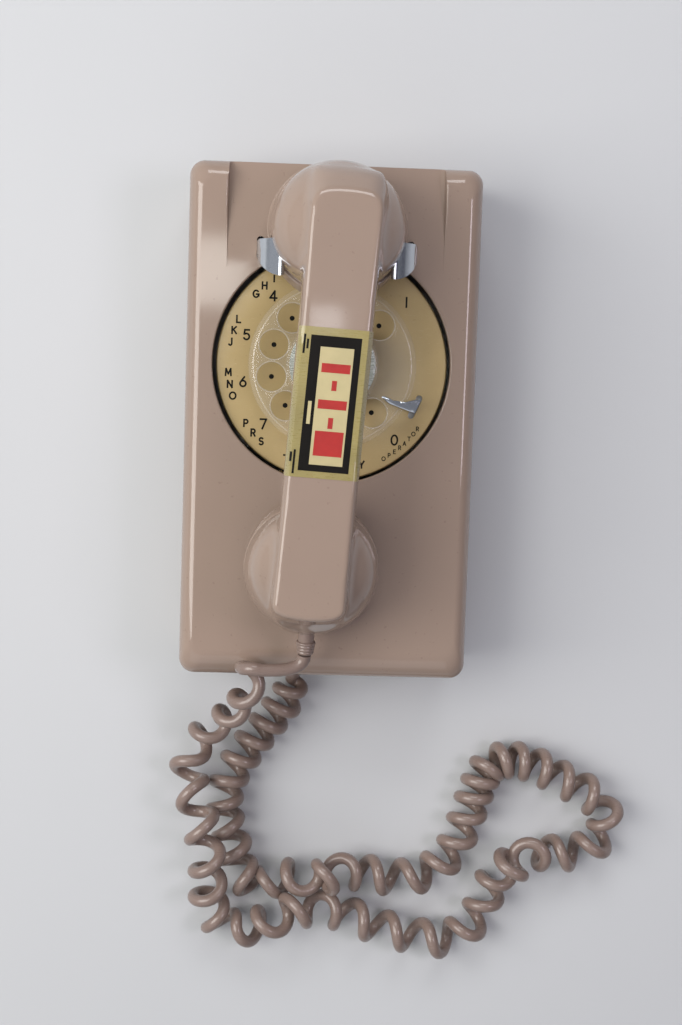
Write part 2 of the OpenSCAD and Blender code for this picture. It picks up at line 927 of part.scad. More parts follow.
module handle_side() {
  mid = -handset_span / 2;
  length = flat_ear_end - flat_mouth_end;
  ys = [for (i = [0:16]) flat_mouth_end + length * i / 16];
  inner = [for (i = [0:12]) mid + 52 - 104 * i / 12];
  polygon(concat(
    [for (y = ys) [y, 56 + arch(y, mid, 2.4, 90)]],
    [[18, 50], [21.5, 44], [20, 38]],
    [for (y = inner) [y, 31 + arch(y, mid, 5, 52)]],
    [[flat_mouth_end - 2, 38], [flat_mouth_end - 3.6, 44]]
  ));
}

module handle_bar() {
  intersection() {
    along_x(60) handle_side();
    translate([0, 40, 0])
      rotate([90, 0, 0])
        linear_extrude(handset_span + 80)
          polygon([
            [-11, 24], [11, 24], [16.4, 40], [16.4, 51], [14.2, 60], [-14.2, 60], [-16.4, 51],
            [-16.4, 40]
          ]);
  }
}

// Cup that flares from the grip's end to the cap's rim
// Cup between a cap and the handle; outward is 1 at the ear and -1 at the mouth
module cup_flare(outward) {
  hull() {
    rotate([-outward * cap_tilt, 0, 0])
      translate([0, 0, cap_h])
        cylinder(r = cap_r - 0.9, h = 1, $fn = 48);
    translate([0, outward * cup_offset, 30]) cylinder(r = 23.6, h = 1, $fn = 32);
    translate([0, outward * cup_offset, 45])
      cylinder(r = outward > 0 ? 19 : 17.5, h = 1, $fn = 32);
  }
}

module cup_cavity() {
  translate([0, 0, cap_h - 1]) cylinder(r = cap_r - 3.6, h = 4);
  translate([0, 0, cap_h + 2]) cylinder(r = cap_r - 6.1, h = 6.2);
}

module handset_body() {
  color(shell)
    on_handset()
      difference() {
        union() {
          handle_bar();
          cup_flare(1);
          translate([0, -handset_span, 0]) cup_flare(-1);
        }
        on_ear() cup_cavity();
        on_mouth() cup_cavity();
        translate([0, 20, 40]) rotate([90, 0, 0]) cylinder(r = 3, h = handset_span + 40);
        on_ear() cylinder(r = 4, h = 34);
        on_mouth() cylinder(r = 4, h = 34);
        on_mouth()
          translate([0, -24, 19])
            rotate([90, 0, 0])
              cylinder(r = 3.6, h = 20);
      }
}

module handset_bushing() {
  color(dark)
    on_handset()
      on_mouth()
        translate([0, -26.4, 19])
          rotate([90, 0, 0]) {
            cylinder(r = 3.58, h = 10);
            translate([0, 0, 5.2]) cylinder(r = 4.3, h = 5.2);
          }
}

module handset_label() {
  mid = -handset_span / 2;
  label_mid = mid - 2.2;
  half = 31.3;
  ys = [for (i = [-4:4]) label_mid + half * i / 4];
  color("#c9b87c")
    on_handset()
      along_x(27.2)
        polygon(concat(
          [for (y = ys) [y, 56.35 + arch(y, mid, 2.4, 90)]],
          [for (i = [8:-1:0]) [ys[i], 56.05 + arch(ys[i], mid, 2.4, 90)]]
        ));
}

// ---------- cord ----------

module cord_strain_relief() {
  color(dark)
    translate([exit_pos[0], -body_h / 2 + wall + 1.6, exit_pos[2]])
      rotate([90, 0, 0]) {
        cylinder(r = 7, h = 1.6);
        cylinder(r = 5.9, h = exit_length);
      }
}

module curly_cord() {
  color("#aa9187")
    swept_tube(coil_route, coil_d / 2, 10);
}

module cord_lead() {
  steps = 2;
  pts = [
    for (i = [0:len(lead_route) - 2])
      for (j = [0:steps - 1])
        bend(lead_route, i, j / steps)
  ];
  color("#aa9187")
    swept_tube(concat(pts, [lead_route[len(lead_route) - 1]]), cord_d / 2, 8);
}

base_plate();
cover();
cover_screw();
number_plate();
dial_frame();
dial_front_plate();
dial_bracket();
dial_screws();
finger_stop();
pulse_contacts();
governor_drum();
dial_spring();
network_block();
network_terminals();
ringer_frame();
ringer_coil();
gong_high();
gong_low();
gong_screws();
hook_bracket();
hook_pivot_pin();
hook_spring();
hook_contacts();
cord_strain_relief();
curly_cord();
cord_lead();
finger_wheel();
dial_shaft();
dial_main_gear();
number_card();
card_retainer();
pulse_shaft();
pulse_gear();
pulse_cam();
governor_shaft();
governor_weights();
hook_lever();
clapper_armature();
clapper_ball();
volume_wheel();
handset_body();
ear_cap();
receiver_capsule();
mouth_cap();
transmitter_cup();
transmitter_capsule();
handset_label();
handset_bushing();
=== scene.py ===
"""Rotary wall telephone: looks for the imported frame, in metres, in the part's own axes."""
import json
from math import atan2, copysign, cos, exp, hypot, pi, radians, sin, sqrt, tan
import bmesh
import bpy
import numpy as np
from mathutils import Matrix, Vector


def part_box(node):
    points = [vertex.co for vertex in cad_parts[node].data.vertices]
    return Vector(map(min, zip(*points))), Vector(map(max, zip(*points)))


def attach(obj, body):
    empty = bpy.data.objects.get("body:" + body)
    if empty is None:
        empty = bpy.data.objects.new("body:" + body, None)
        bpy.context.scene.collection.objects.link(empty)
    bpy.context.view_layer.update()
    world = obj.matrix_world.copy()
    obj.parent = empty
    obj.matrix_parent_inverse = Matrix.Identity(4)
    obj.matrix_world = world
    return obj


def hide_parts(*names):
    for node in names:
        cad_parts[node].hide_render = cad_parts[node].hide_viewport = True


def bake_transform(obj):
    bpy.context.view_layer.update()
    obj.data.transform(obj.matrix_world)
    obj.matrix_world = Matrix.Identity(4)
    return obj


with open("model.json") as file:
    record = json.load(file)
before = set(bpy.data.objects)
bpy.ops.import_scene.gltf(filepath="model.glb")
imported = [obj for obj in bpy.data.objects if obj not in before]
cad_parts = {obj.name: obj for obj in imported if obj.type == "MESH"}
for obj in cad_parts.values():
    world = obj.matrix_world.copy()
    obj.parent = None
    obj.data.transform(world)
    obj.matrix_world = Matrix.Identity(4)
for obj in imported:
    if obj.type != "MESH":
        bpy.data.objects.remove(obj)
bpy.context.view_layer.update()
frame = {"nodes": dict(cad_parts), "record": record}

MM = 0.001
BASE = "phone_base"
HANDSET = "handset"

# ---------- sizes, most of them read from the frame ----------


def corners(node):
    return [Vector(c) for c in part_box(node)]


cover_lo, cover_hi = corners("cover")
plate_lo, plate_hi = corners("number_plate")
wheel_lo, wheel_hi = corners("finger_wheel")
relief_lo, relief_hi = corners("cord_strain_relief")
stop_lo, stop_hi = corners("finger_stop")
screw_lo, screw_hi = corners("cover_screw")
loud_lo, loud_hi = corners("volume_wheel")

HOUSING_W = cover_hi.x - cover_lo.x
FRONT_Z = cover_hi.z
BACK_Z = cover_lo.z
DIAL = Vector(((wheel_lo.x + wheel_hi.x) / 2, (wheel_lo.y + wheel_hi.y) / 2, 0))
WHEEL_R = (wheel_hi.x - wheel_lo.x) / 2
PLATE_R = (plate_hi.x - plate_lo.x) / 2
OPENING_R = PLATE_R + 1.4 * MM
WALL = 3 * MM
CORNER_R = 7 * MM
ROLL_SIDE, ROLL_LOW, ROLL_HIGH, ROLL_DEPTH = 7 * MM, 13 * MM, 9 * MM, 11 * MM
RECESS_HALF, RECESS_SLOPE = 49 * MM, tan(radians(13))
RECESS_Y = 85 * MM

# Finger holes: their circle and radius, and where they sit, in degrees clockwise from the top
HOLE_CIRCLE, FINGER_R = 28.1 * MM, 6.5 * MM
HOLE_ANGLES = [48 - 30 * k for k in range(10)]
STOP_ANGLE = -24

# Handset frame: origin at the ear cap's face, the mouth end towards -Y
EAR = Vector((0, 85 * MM, 64.5 * MM))
SWING, LEAN, CAP_TILT = 2.7, 2.0, 11.0
SPAN = 148 * MM
CAP_R, EAR_CAP_R, CAP_H = 30.5 * MM, 31.4 * MM, 12 * MM


def turn(degrees, axis):
    return Matrix.Rotation(radians(degrees), 4, axis)


def shift(x, y, z):
    return Matrix.Translation((x, y, z))


ON_HANDSET = shift(*EAR) @ turn(-SWING, "Z") @ turn(-LEAN, "X")
ON_EAR = ON_HANDSET @ turn(-CAP_TILT, "X")
ON_MOUTH = ON_HANDSET @ shift(0, -SPAN, 0) @ turn(CAP_TILT, "X")


def link_object(name, data):
    item = bpy.data.objects.new(name, data)
    bpy.context.scene.collection.objects.link(item)
    return item


# ---------- camera ----------

def make_camera():
    """Almost square on to the dial, a little to its left, seen from 0.75 m."""
    data = bpy.data.cameras.new("camera")
    data.sensor_fit = "VERTICAL"
    data.sensor_height = 36
    data.lens = 52.7
    camera = link_object("camera", data)
    into_camera = turn(-1.64, "Z") @ turn(2.62, "Y") @ turn(5.34, "X")
    camera.matrix_world = shift(-0.0253, 0.0241, 0.7493) @ into_camera.inverted()
    bpy.context.scene.camera = camera


make_camera()


# ---------- materials ----------

def new_tree(name):
    material = bpy.data.materials.new(name)
    material.use_nodes = True
    nodes, links = material.node_tree.nodes, material.node_tree.links
    shader = nodes["Principled BSDF"]
    place = nodes.new("ShaderNodeTexCoord")
    return material, nodes, links, shader, place


def set_inputs(node, values):
    for key, value in values.items():
        node.inputs[key].default_value = value


def noise(nodes, links, place, scale, detail, rough=0.55, stretch=(1, 1, 1)):
    mapping = nodes.new("ShaderNodeMapping")
    set_inputs(mapping, {"Scale": stretch})
    texture = nodes.new("ShaderNodeTexNoise")
    set_inputs(texture, {"Scale": scale, "Detail": detail, "Roughness": rough})
    links.new(place.outputs["Object"], mapping.inputs["Vector"])
    links.new(mapping.outputs["Vector"], texture.inputs["Vector"])
    return texture


def ramp(nodes, links, source, stops):
    node = nodes.new("ShaderNodeValToRGB")
    elements = node.color_ramp.elements
    while len(elements) < len(stops):
        elements.new(0.5)
    for element, (position, color) in zip(elements, stops):
        element.position = position
        element.color = (*color, 1)
    links.new(source, node.inputs["Fac"])
    return node


def mix_colors(nodes, links, fac, under, over):
    """One colour laid over the output of another node; in a mix node, colours are inputs 6 and 7."""
    node = nodes.new("ShaderNodeMix")
    node.data_type = "RGBA"
    links.new(fac, node.inputs[0])
    links.new(under, node.inputs[6])
    node.inputs[7].default_value = over
    return node.outputs[2]


def tint(color, factor):
    return tuple(min(1.0, c * factor) for c in color)


def bump(nodes, links, shader, heights):
    """Chain of bumps: each height is (output, strength, distance in metres)."""
    last = None
    for output, strength, distance in heights:
        node = nodes.new("ShaderNodeBump")
        set_inputs(node, {"Strength": strength, "Distance": distance})
        links.new(output, node.inputs["Height"])
        if last is not None:
            links.new(last.outputs["Normal"], node.inputs["Normal"])
        last = node
    links.new(last.outputs["Normal"], shader.inputs["Normal"])


def surface(name, color, rough=(0.25, 0.35), metal=0.0, mottle=0.06, mottle_scale=35, grain=900,
            grain_depth=0.00002, scratch=0.15, spots=0.0, coat=0.0, alpha=1.0, ior=1.5,
            stretch=(1, 1, 1), dirt=None):
    """Painted, moulded or plated surface: mottled colour, uneven gloss, grain and hairline wear."""
    material, nodes, links, shader, place = new_tree(name)
    broad = noise(nodes, links, place, mottle_scale, 5)
    fine = noise(nodes, links, place, grain, 3, 0.6, stretch)
    lines = noise(nodes, links, place, 260, 6, 0.7, (1, 9, 3))
    shade = ramp(nodes, links, broad.outputs["Fac"], [
        (0.3, tint(color, 1 - mottle)), (0.7, tint(color, 1 + mottle))
    ]).outputs["Color"]
    if spots:
        speck = noise(nodes, links, place, 480, 2, 0.4)
        mask = ramp(nodes, links, speck.outputs["Fac"], [(0.70, (0, 0, 0)), (0.76, (spots,) * 3)])
        shade = mix_colors(nodes, links, mask.outputs["Color"], shade, (*dirt, 1))
    links.new(shade, shader.inputs["Base Color"])
    gloss = nodes.new("ShaderNodeMapRange")
    set_inputs(gloss, {"From Min": 0.3, "From Max": 0.7, "To Min": rough[0], "To Max": rough[1]})
    links.new(lines.outputs["Fac"], gloss.inputs["Value"])
    links.new(gloss.outputs["Result"], shader.inputs["Roughness"])
    bump(nodes, links, shader, [
        (fine.outputs["Fac"], 0.35, grain_depth), (lines.outputs["Fac"], scratch, 0.00001)
    ])
    set_inputs(shader, {"Metallic": metal, "Coat Weight": coat, "Coat Roughness": 0.08,
                        "IOR": ior, "Alpha": alpha})
    return material


ROSE = (0.295, 0.219, 0.174)
GRIME = (0.2, 0.13, 0.1)
LOOKS = {
    "shell": lambda: surface(
        "shell_gloss", ROSE, (0.045, 0.095), mottle=0.035, mottle_scale=14, spots=0.35,
        dirt=GRIME, scratch=0.04, grain=420, grain_depth=0.000004),
    "clear": lambda: surface(
        "clear_plastic", (0.62, 0.58, 0.50), (0.04, 0.12), mottle=0.02, alpha=0.10, coat=1.0,
        scratch=0.35),
    # Paler, more opaque clear plastic for the finger holes' walls and lips: a painted highlight standing
    # in for the light those rounded edges catch.
    "clear_edge": lambda: surface(
        "clear_plastic_edge_painted_highlight", (0.66, 0.62, 0.54), (0.10, 0.22), mottle=0.03, alpha=0.34, coat=1.0),
    "plate": lambda: surface(
        "cream_enamel", (0.41, 0.305, 0.142), (0.24, 0.28), mottle_scale=40, spots=0.25,
        dirt=(0.25, 0.17, 0.08), scratch=0.02),
    "ink": lambda: surface("dial_ink", (0.006, 0.006, 0.005), (0.4, 0.55), mottle=0.2, ior=1.2),
    "chrome": lambda: surface(
        "bright_chrome", (0.54, 0.57, 0.61), (0.10, 0.22), metal=1.0, mottle=0.03, spots=0.3,
        dirt=(0.25, 0.23, 0.2), scratch=0.3),
    "steel": lambda: surface(
        "zinc_steel", (0.50, 0.50, 0.49), (0.28, 0.48), metal=1.0, mottle=0.12, mottle_scale=60,
        scratch=0.5, stretch=(1, 6, 1)),
    "brass": lambda: surface(
        "satin_brass", (0.62, 0.44, 0.18), (0.22, 0.4), metal=1.0, mottle=0.12, mottle_scale=50,
        scratch=0.4),
    "dark_plastic": lambda: surface(
        "dark_moulding", (0.028, 0.027, 0.026), (0.35, 0.5), mottle=0.15, grain_depth=0.00004),
    "card": lambda: surface(
        "silver_card", (0.44, 0.49, 0.45), (0.22, 0.35), metal=0.6, mottle_scale=120),
    "label": lambda: surface(
        "aged_label", (0.28, 0.23, 0.085), (0.22, 0.38), mottle=0.12, mottle_scale=70, spots=0.5,
        dirt=(0.3, 0.2, 0.07), coat=0.4),
    "label_cream": lambda: surface(
        "label_cream", (0.47, 0.40, 0.21), (0.3, 0.4), mottle=0.07, mottle_scale=90, coat=0.4),
    "label_red": lambda: surface(
        "label_red", (0.37, 0.018, 0.015), (0.3, 0.4), mottle=0.1, mottle_scale=150, coat=0.1),
    "label_black": lambda: surface(
        "label_black", (0.009, 0.008, 0.007), (0.3, 0.4), mottle=0.2, ior=1.2),
    "rubber": lambda: surface("soft_rubber", (0.24, 0.17, 0.135), (0.4, 0.55), mottle=0.1),
    "cord": lambda: surface(
        "cord_vinyl", (0.215, 0.155, 0.13), (0.24, 0.36), mottle=0.05, mottle_scale=60, coat=0.25,
        spots=0.3, dirt=GRIME),
    "coil": lambda: surface(
        "varnished_winding", (0.22, 0.06, 0.025), (0.2, 0.3), mottle=0.1, grain=2500,
        grain_depth=0.0001, stretch=(1, 0.05, 0.05)),
}
made = {}


def look(name):
    if name not in made:
        made[name] = LOOKS[name]()
    return made[name]


# ---------- mesh helpers ----------

def add_object(name, mesh, slot, body=None, extra=(), angle=35, flat=False):
    mesh.materials.clear()
    for key in (slot, *extra):
        mesh.materials.append(look(key))
    mesh.polygons.foreach_set("use_smooth", [True] * len(mesh.polygons))
    mesh.set_sharp_from_angle(angle=radians(angle))
    piece = link_object(name, mesh)
    if flat:
        piece.modifiers.new("flat", "WEIGHTED_NORMAL").keep_sharp = True
    if body:
        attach(piece, body)
    return piece


def mesh_of(name, points, faces):
    mesh = bpy.data.meshes.new(name)
    mesh.from_pydata([tuple(p) for p in points], [], [tuple(int(i) for i in f) for f in faces])
    mesh.validate()
    mesh.update()
    return mesh


def joined_rings(rings):
    """Points and faces of a body made of equal rings of points, one after another."""
    count = len(rings[0])
    points = [p for ring in rings for p in ring]
    faces = []
    for i in range(len(rings) - 1):
        for k in range(count):
            a, b = i * count + k, i * count + (k + 1) % count
            faces.append((a, b, b + count, a + count))
    faces.append(tuple(range(count - 1, -1, -1)))
    last = (len(rings) - 1) * count
    faces.append(tuple(range(last, last + count)))
    return points, faces


def lathe(profile, segments=96):
    """Closed (radius, height) profile turned about Z; a radius of 0 closes on the axis."""
    points, faces, rows = [], [], []
    for r, z in profile:
        if r < 1e-7:
            rows.append([len(points)] * segments)
            points.append((0, 0, z))
        else:
            rows.append(list(range(len(points), len(points) + segments)))
            for k in range(segments):
                a = 2 * pi * k / segments
                points.append((r * cos(a), r * sin(a), z))
    closed = profile[0][0] > 1e-7 and profile[-1][0] > 1e-7
    for i in range(len(rows) if closed else len(rows) - 1):
        low, high = rows[i], rows[(i + 1) % len(rows)]
        for k in range(segments):
            quad = [low[k], low[(k + 1) % segments], high[(k + 1) % segments], high[k]]
            face = [v for j, v in enumerate(quad) if v not in quad[:j]]
            if len(face) > 2:
                faces.append(face)
    return points, faces


def arc(cx, cy, r, start, end, steps=6):
    return [
        (cx + r * cos(radians(start + (end - start) * i / steps)),
         cy + r * sin(radians(start + (end - start) * i / steps)))
        for i in range(steps + 1)
    ]


def placed(points, matrix):
    return [matrix @ Vector(p) for p in points]


def in_mm(points):
    return [tuple(c * MM for c in p) for p in points]


def solid(name, points, faces, matrix=Matrix.Identity(4)):
    """Loose object with outward normals, used as a body or as a cutter."""
    mesh = mesh_of(name, placed(points, matrix), faces)
    work = bmesh.new()
    work.from_mesh(mesh)
    bmesh.ops.remove_doubles(work, verts=work.verts, dist=1e-7)
    bmesh.ops.recalc_face_normals(work, faces=work.faces)
    work.to_mesh(mesh)
    work.free()
    return link_object(name, mesh)


def box_solid(name, x, y, z):
    """Box between two places on each axis, in mm."""
    ring = [(x[0], y[0]), (x[1], y[0]), (x[1], y[1]), (x[0], y[1])]
    return solid(name, *joined_rings([in_mm((a, b, c) for a, b in ring) for c in z]))


def apply_modifiers(piece):
    bpy.context.view_layer.update()
    graph = bpy.context.evaluated_depsgraph_get()
    mesh = bpy.data.meshes.new_from_object(piece.evaluated_get(graph))
    piece.modifiers.clear()
    piece.data = mesh


def cut(body, cutters, operation="DIFFERENCE"):
    """Apply booleans one after another and take the cutters away."""
    for cutter in cutters:
        modifier = body.modifiers.new("cut", "BOOLEAN")
        modifier.operation = operation
        modifier.solver = "EXACT"
        modifier.object = cutter
        apply_modifiers(body)
    for cutter in cutters:
        bpy.data.objects.remove(cutter)
    return body


def take_mesh(piece):
    mesh = piece.data
    bpy.data.objects.remove(piece)
    return mesh


def soften(piece, width, segments, angle):
    """Small round on every edge that is sharper than the angle."""
    modifier = piece.modifiers.new("soften", "BEVEL")
    modifier.width = width
    modifier.segments = segments
    modifier.limit_method = "ANGLE"
    modifier.angle_limit = radians(angle)
    apply_modifiers(piece)
    return piece


# ---------- the curly cord ----------

CORD_R = 3 * MM
COIL_R = 10 * MM - CORD_R

# The coil's axis and the smooth lead, as the frame's plain cord runs
COIL_ROUTE = [
    (-31, -106, 78), (-33, -118, 71), (-36, -128, 61), (-40, -136, 49), (-46, -144, 36),
    (-54, -153, 25), (-61, -164, 18), (-63, -176, 18), (-59, -189, 24), (-55, -202, 28),
    (-53, -215, 27), (-52, -228, 23), (-52, -241, 16), (-47, -253, 11), (-38, -258, 10.5),
    (-29, -256, 12), (-20, -251, 17), (-11, -245, 21), (0, -244, 19), (11, -247, 13),
    (24, -252, 10.5), (38, -257, 10.5), (52, -260, 10.5), (66, -262, 10.5), (78, -257, 10.5),
    (86, -246, 10.5), (91, -233, 10.5), (98, -219, 10.5), (111, -215, 10.5), (125, -216, 10.5),
    (139, -213, 10.5), (148, -203, 10.5), (146, -191, 10.5), (136, -183, 10.5), (124, -177, 10.5),
    (112, -171, 10.5), (99, -168, 10.5), (88, -171, 10.5), (82, -183, 10.5), (77, -199, 10.5),
    (70, -216, 10.5), (58, -227, 10.5), (43, -230, 10.5), (27, -228, 10.5), (12, -226, 10.5),
    (-3, -227, 10.5), (-18, -232, 10.5), (-29, -235, 10.5), (-37, -226, 10.5), (-41, -212, 10.5),
    (-45, -198, 10.5), (-44, -183, 10.5), (-37, -169, 10.5), (-28, -156, 10.5), (-19, -144, 11),
    (-12.5, -133, 12), (-12, -122.6, 12)
]
LEAD_ROUTE = [
    (-9, -103, 82.8), (-9.6, -106, 82.2), (-13, -108.8, 82.2), (-20, -110.2, 82.8),
    (-31, -110.4, 83.3)
]

# Length of coil taken by one turn, in mm, at places counted along COIL_ROUTE
PITCH = [
    (0, 24), (2, 26), (5, 22), (7, 18), (10, 18), (13, 17), (19, 18), (23, 18.5), (26, 16),
    (27, 12), (28, 12), (29, 16), (32, 16), (35, 12), (36.2, 8.5), (38, 8.5), (39, 13), (40, 14.5),
    (42, 18), (43.3, 14), (44.6, 12.5), (46, 16), (49, 13), (51, 12.5), (53, 11), (55, 9.5), (56, 9)
]

# Places where the coil stands up off the floor: place along the route, height and reach
CURLS = [(27.3, 14, 0.7), (44.6, 15, 0.75)]

# Where the coil is drawn out thinner near the handset: places along the route, share of its radius
STRETCH = [(0, 1, 4, 6.5), (1, 0.68, 0.7, 1)]


def between(a, b, c, d, t):
    """Place at share t of the way from b to c on a smooth curve through all four."""
    return 0.5 * (2 * b + (c - a) * t + (2 * a - 5 * b + 4 * c - d) * t * t
                  + (3 * b - a - 3 * c + d) * t ** 3)


def four_around(points, i):
    return points[max(i - 1, 0)], points[i], points[i + 1], points[min(i + 2, len(points) - 1)]


def even_line(points, step):
    """Evenly spaced points along a line, their places, and the places of the given points."""
    away = np.concatenate([[0], np.cumsum([(b - a).length for a, b in zip(points, points[1:])])])
    places = np.linspace(0, away[-1], round(away[-1] / step) + 1)
    table = np.array([tuple(p) for p in points])
    even = np.stack([np.interp(places, away, table[:, k]) for k in range(3)], 1)
    return [Vector(p) for p in even], places, away


def spline(points, step):
    """Evenly spaced points on a smooth curve through the given ones, and their place in the list."""
    route = [Vector(p) * MM for p in points]
    fine, marks = [], []
    for i in range(len(route) - 1):
        for j in range(24):
            fine.append(between(*four_around(route, i), j / 24))
            marks.append(i + j / 24)
    line, places, away = even_line([*fine, route[-1]], step)
    return line, np.interp(places, away, [*marks, len(route) - 1]), float(places[1])


def carried_frames(points, first):
    """A side direction at every point, carried along without twist."""
    sides, previous = [], Vector(first)
    for i in range(len(points)):
        along = (points[min(i + 1, len(points) - 1)] - points[max(i - 1, 0)]).normalized()
        previous = (previous - along * previous.dot(along)).normalized()
        sides.append((along, previous.copy(), along.cross(previous)))
    return sides


def coil_line():
    """Helix of the cord round the coil's axis, drawn in to the axis at the strain relief."""
    axis, marks, step = spline(COIL_ROUTE, 0.35 * MM)
    for place, height, reach in CURLS:
        for i, mark in enumerate(marks):
            axis[i].z += height * MM * exp(-((float(mark) - place) / reach) ** 2)
    frames = carried_frames(axis, (0, -0.63, 0.755))
    knots, pitches = zip(*PITCH)
    line, phase = [], 0.0
    tail = 16 * MM
    total = step * (len(axis) - 1)
    for i, (point, (along, side, over)) in enumerate(zip(axis, frames)):
        left = total - i * step
        pitch = float(np.interp(marks[i], knots, pitches)) * MM
        shrink = min(1.0, left / tail)
        radius = COIL_R * shrink * shrink * (3 - 2 * shrink) * float(np.interp(marks[i], *STRETCH))
        line.append(point + radius * (cos(phase) * side + sin(phase) * over))
        phase += 2 * pi * step / pitch
    return line


def tube(points, radius, sides=12):
    rings = []
    for point, (along, side, over) in zip(points, carried_frames(points, (0, 0.3, 1))):
        rings.append([
            point + radius * (cos(2 * pi * k / sides) * side
                              + sin(2 * pi * k / sides) * over)
            for k in range(sides)
        ])
    return joined_rings(rings)


def make_cord(relief):
    """Smooth lead from the handset, the coil and the end in the strain relief, as one wire."""
    lead = spline(LEAD_ROUTE, 0.8 * MM)[0]
    coil = coil_line()
    end = Vector((coil[-1].x, relief_lo.y + MM, coil[-1].z))
    line, places, _ = even_line(lead[:-3] + coil[2:] + [end], 1.9 * MM)
    mesh = mesh_of("curly_cord_wire", *tube(line, CORD_R))
    piece = add_object("curly_cord_wire", mesh, "cord", angle=80)
    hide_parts("curly_cord", "cord_lead")
    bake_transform(piece)


# ---------- housing ----------

def rounded_outline(x_half, y_low, y_high, r, z):
    points = []
    for sx, middle_y, start in ((1, y_high - r, 0), (-1, y_high - r, 90), (-1, y_low + r, 180),
                                (1, y_low + r, 270)):
        points += arc(sx * (x_half - r), middle_y, r, start, start + 90, 14)
    return [(x, y, z) for x, y in points]


def housing_solid(name, inset, floor_z):
    """Box whose front edges roll over, drawn in by an even amount."""
    corner = CORNER_R - inset * 0.8
    rings = [rounded_outline(HOUSING_W / 2 - inset, cover_lo.y + inset, cover_hi.y - inset,
                             corner, floor_z)]
    scale = 1 - inset / (12 * MM)
    for i in range(15):
        t = radians(90 * i / 14)
        bulge = (1 - cos(t)) * scale
        rings.append(rounded_outline(
            HOUSING_W / 2 - inset - ROLL_SIDE * bulge, cover_lo.y + inset + ROLL_LOW * bulge,
            cover_hi.y - inset - ROLL_HIGH * bulge, corner,
            FRONT_Z - inset - ROLL_DEPTH * scale * (1 - sin(t))))
    return solid(name, *joined_rings(rings))


def recess_depth(y):
    """Depth of the recess, which starts softly at RECESS_Y and slopes evenly above it."""
    t = y - RECESS_Y
    return RECESS_SLOPE * (t + sqrt(t * t + (6 * MM) ** 2)) / 2


def recess_cutter(name, drop=0.0, widen=0.0):
    """Space in front of the sloping recess, with a soft foot and a rounded rim on each side."""
    rings = []
    for y in np.linspace(70 * MM, cover_hi.y + 8 * MM, 41):
        depth = recess_depth(float(y))
        floor, rim = FRONT_Z - depth - drop, FRONT_Z - drop
        foot, lip = min(2.4 * MM, 0.45 * depth), min(1.1 * MM, 0.4 * depth)
        half = RECESS_HALF + widen
        right = arc(half - foot, floor + foot, foot, -90, 0, 6)
        right += arc(half + lip, rim - lip, lip, 180, 90, 5)
        right.append((half + lip, FRONT_Z + 30 * MM))
        section = right + [(-x, z) for x, z in reversed(right)]
        rings.append([(x, float(y), z) for x, z in section])
    return solid(name, *joined_rings(rings))


def opening_cutter():
    """Round opening for the dial, with a soft lip."""
    lip, low, high = 0.8 * MM, FRONT_Z - 12 * MM, FRONT_Z + 20 * MM
    profile = [(0, low), (OPENING_R, low)]
    profile += arc(OPENING_R + lip, FRONT_Z - lip, lip, 180, 90, 6)
    profile += [(OPENING_R + lip, high), (0, high)]
    centre = DIAL + Vector((-0.3 * MM, 0.4 * MM, 0))
    return solid("opening", *lathe(profile, 256), shift(*centre))


def round_slot(name, w, h, depth, matrix):
    """Slot cutter with round ends, w across and h long, standing on its own XY plane."""
    r = w / 2
    outline = arc(0, h / 2 - r, r, 0, 180, 10) + arc(0, -h / 2 + r, r, 180, 360, 10)
    rings = [[(x, y, z) for x, y in outline] for z in (0, depth)]
    return solid(name, *joined_rings(rings), matrix)


def through_bottom(x, z):
    """Frame of a cutter that goes up through the bottom wall."""
    return shift(x, cover_lo.y - 4 * MM, z) @ turn(-90, "X")


def make_housing():
    """Hollow cover with the recess, the dial's opening, the hook's slots and the bottom openings."""
    body = housing_solid("housing_shell", 0, BACK_Z)
    hollow = housing_solid("hollow", WALL, BACK_Z - 5 * MM)
    cut(hollow, [recess_cutter("recess_back", WALL * 1.02, WALL)])
    hooks = [
        round_slot("hook_slot", 3.4 * MM, 10.4 * MM, 30 * MM, shift(x, 78.8 * MM, FRONT_Z - 20 * MM))
        for x in (-34 * MM, 34 * MM)
    ]
    relief = (relief_lo + relief_hi) / 2
    screw = (screw_lo + screw_hi) / 2
    loud = (loud_lo + loud_hi) / 2
    deep = 14 * MM
    bottom = [
        round_slot("cord_hole", 12 * MM, 12.001 * MM, deep, through_bottom(relief.x, relief.z)),
        round_slot("screw_hole", 4.4 * MM, 4.401 * MM, deep, through_bottom(screw.x, screw.z)),
        round_slot("wheel_slot", 5 * MM, 20.5 * MM, deep,
                   through_bottom(loud.x, loud.z + 0.1 * MM) @ turn(90, "Z"))
    ]
    for i in range(5):
        vent = through_bottom((-52.7 + 6 * i) * MM, 24 * MM)
        bottom.append(round_slot("vent", 2.6 * MM, 24 * MM, deep, vent))
    cut(body, [hollow, recess_cutter("recess"), opening_cutter(), *hooks, *bottom])
    piece = add_object("housing_cover", take_mesh(body), "shell", BASE, angle=32, flat=True)
    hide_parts("cover")


make_housing()


# ---------- smooth bodies from distance fields ----------

def soft_min(a, b, k):
    h = np.clip(0.5 + 0.5 * (b - a) / k, 0, 1)
    return b * (1 - h) + a * h - k * h * (1 - h)


def soft_max(a, b, k):
    return -soft_min(-a, -b, k)


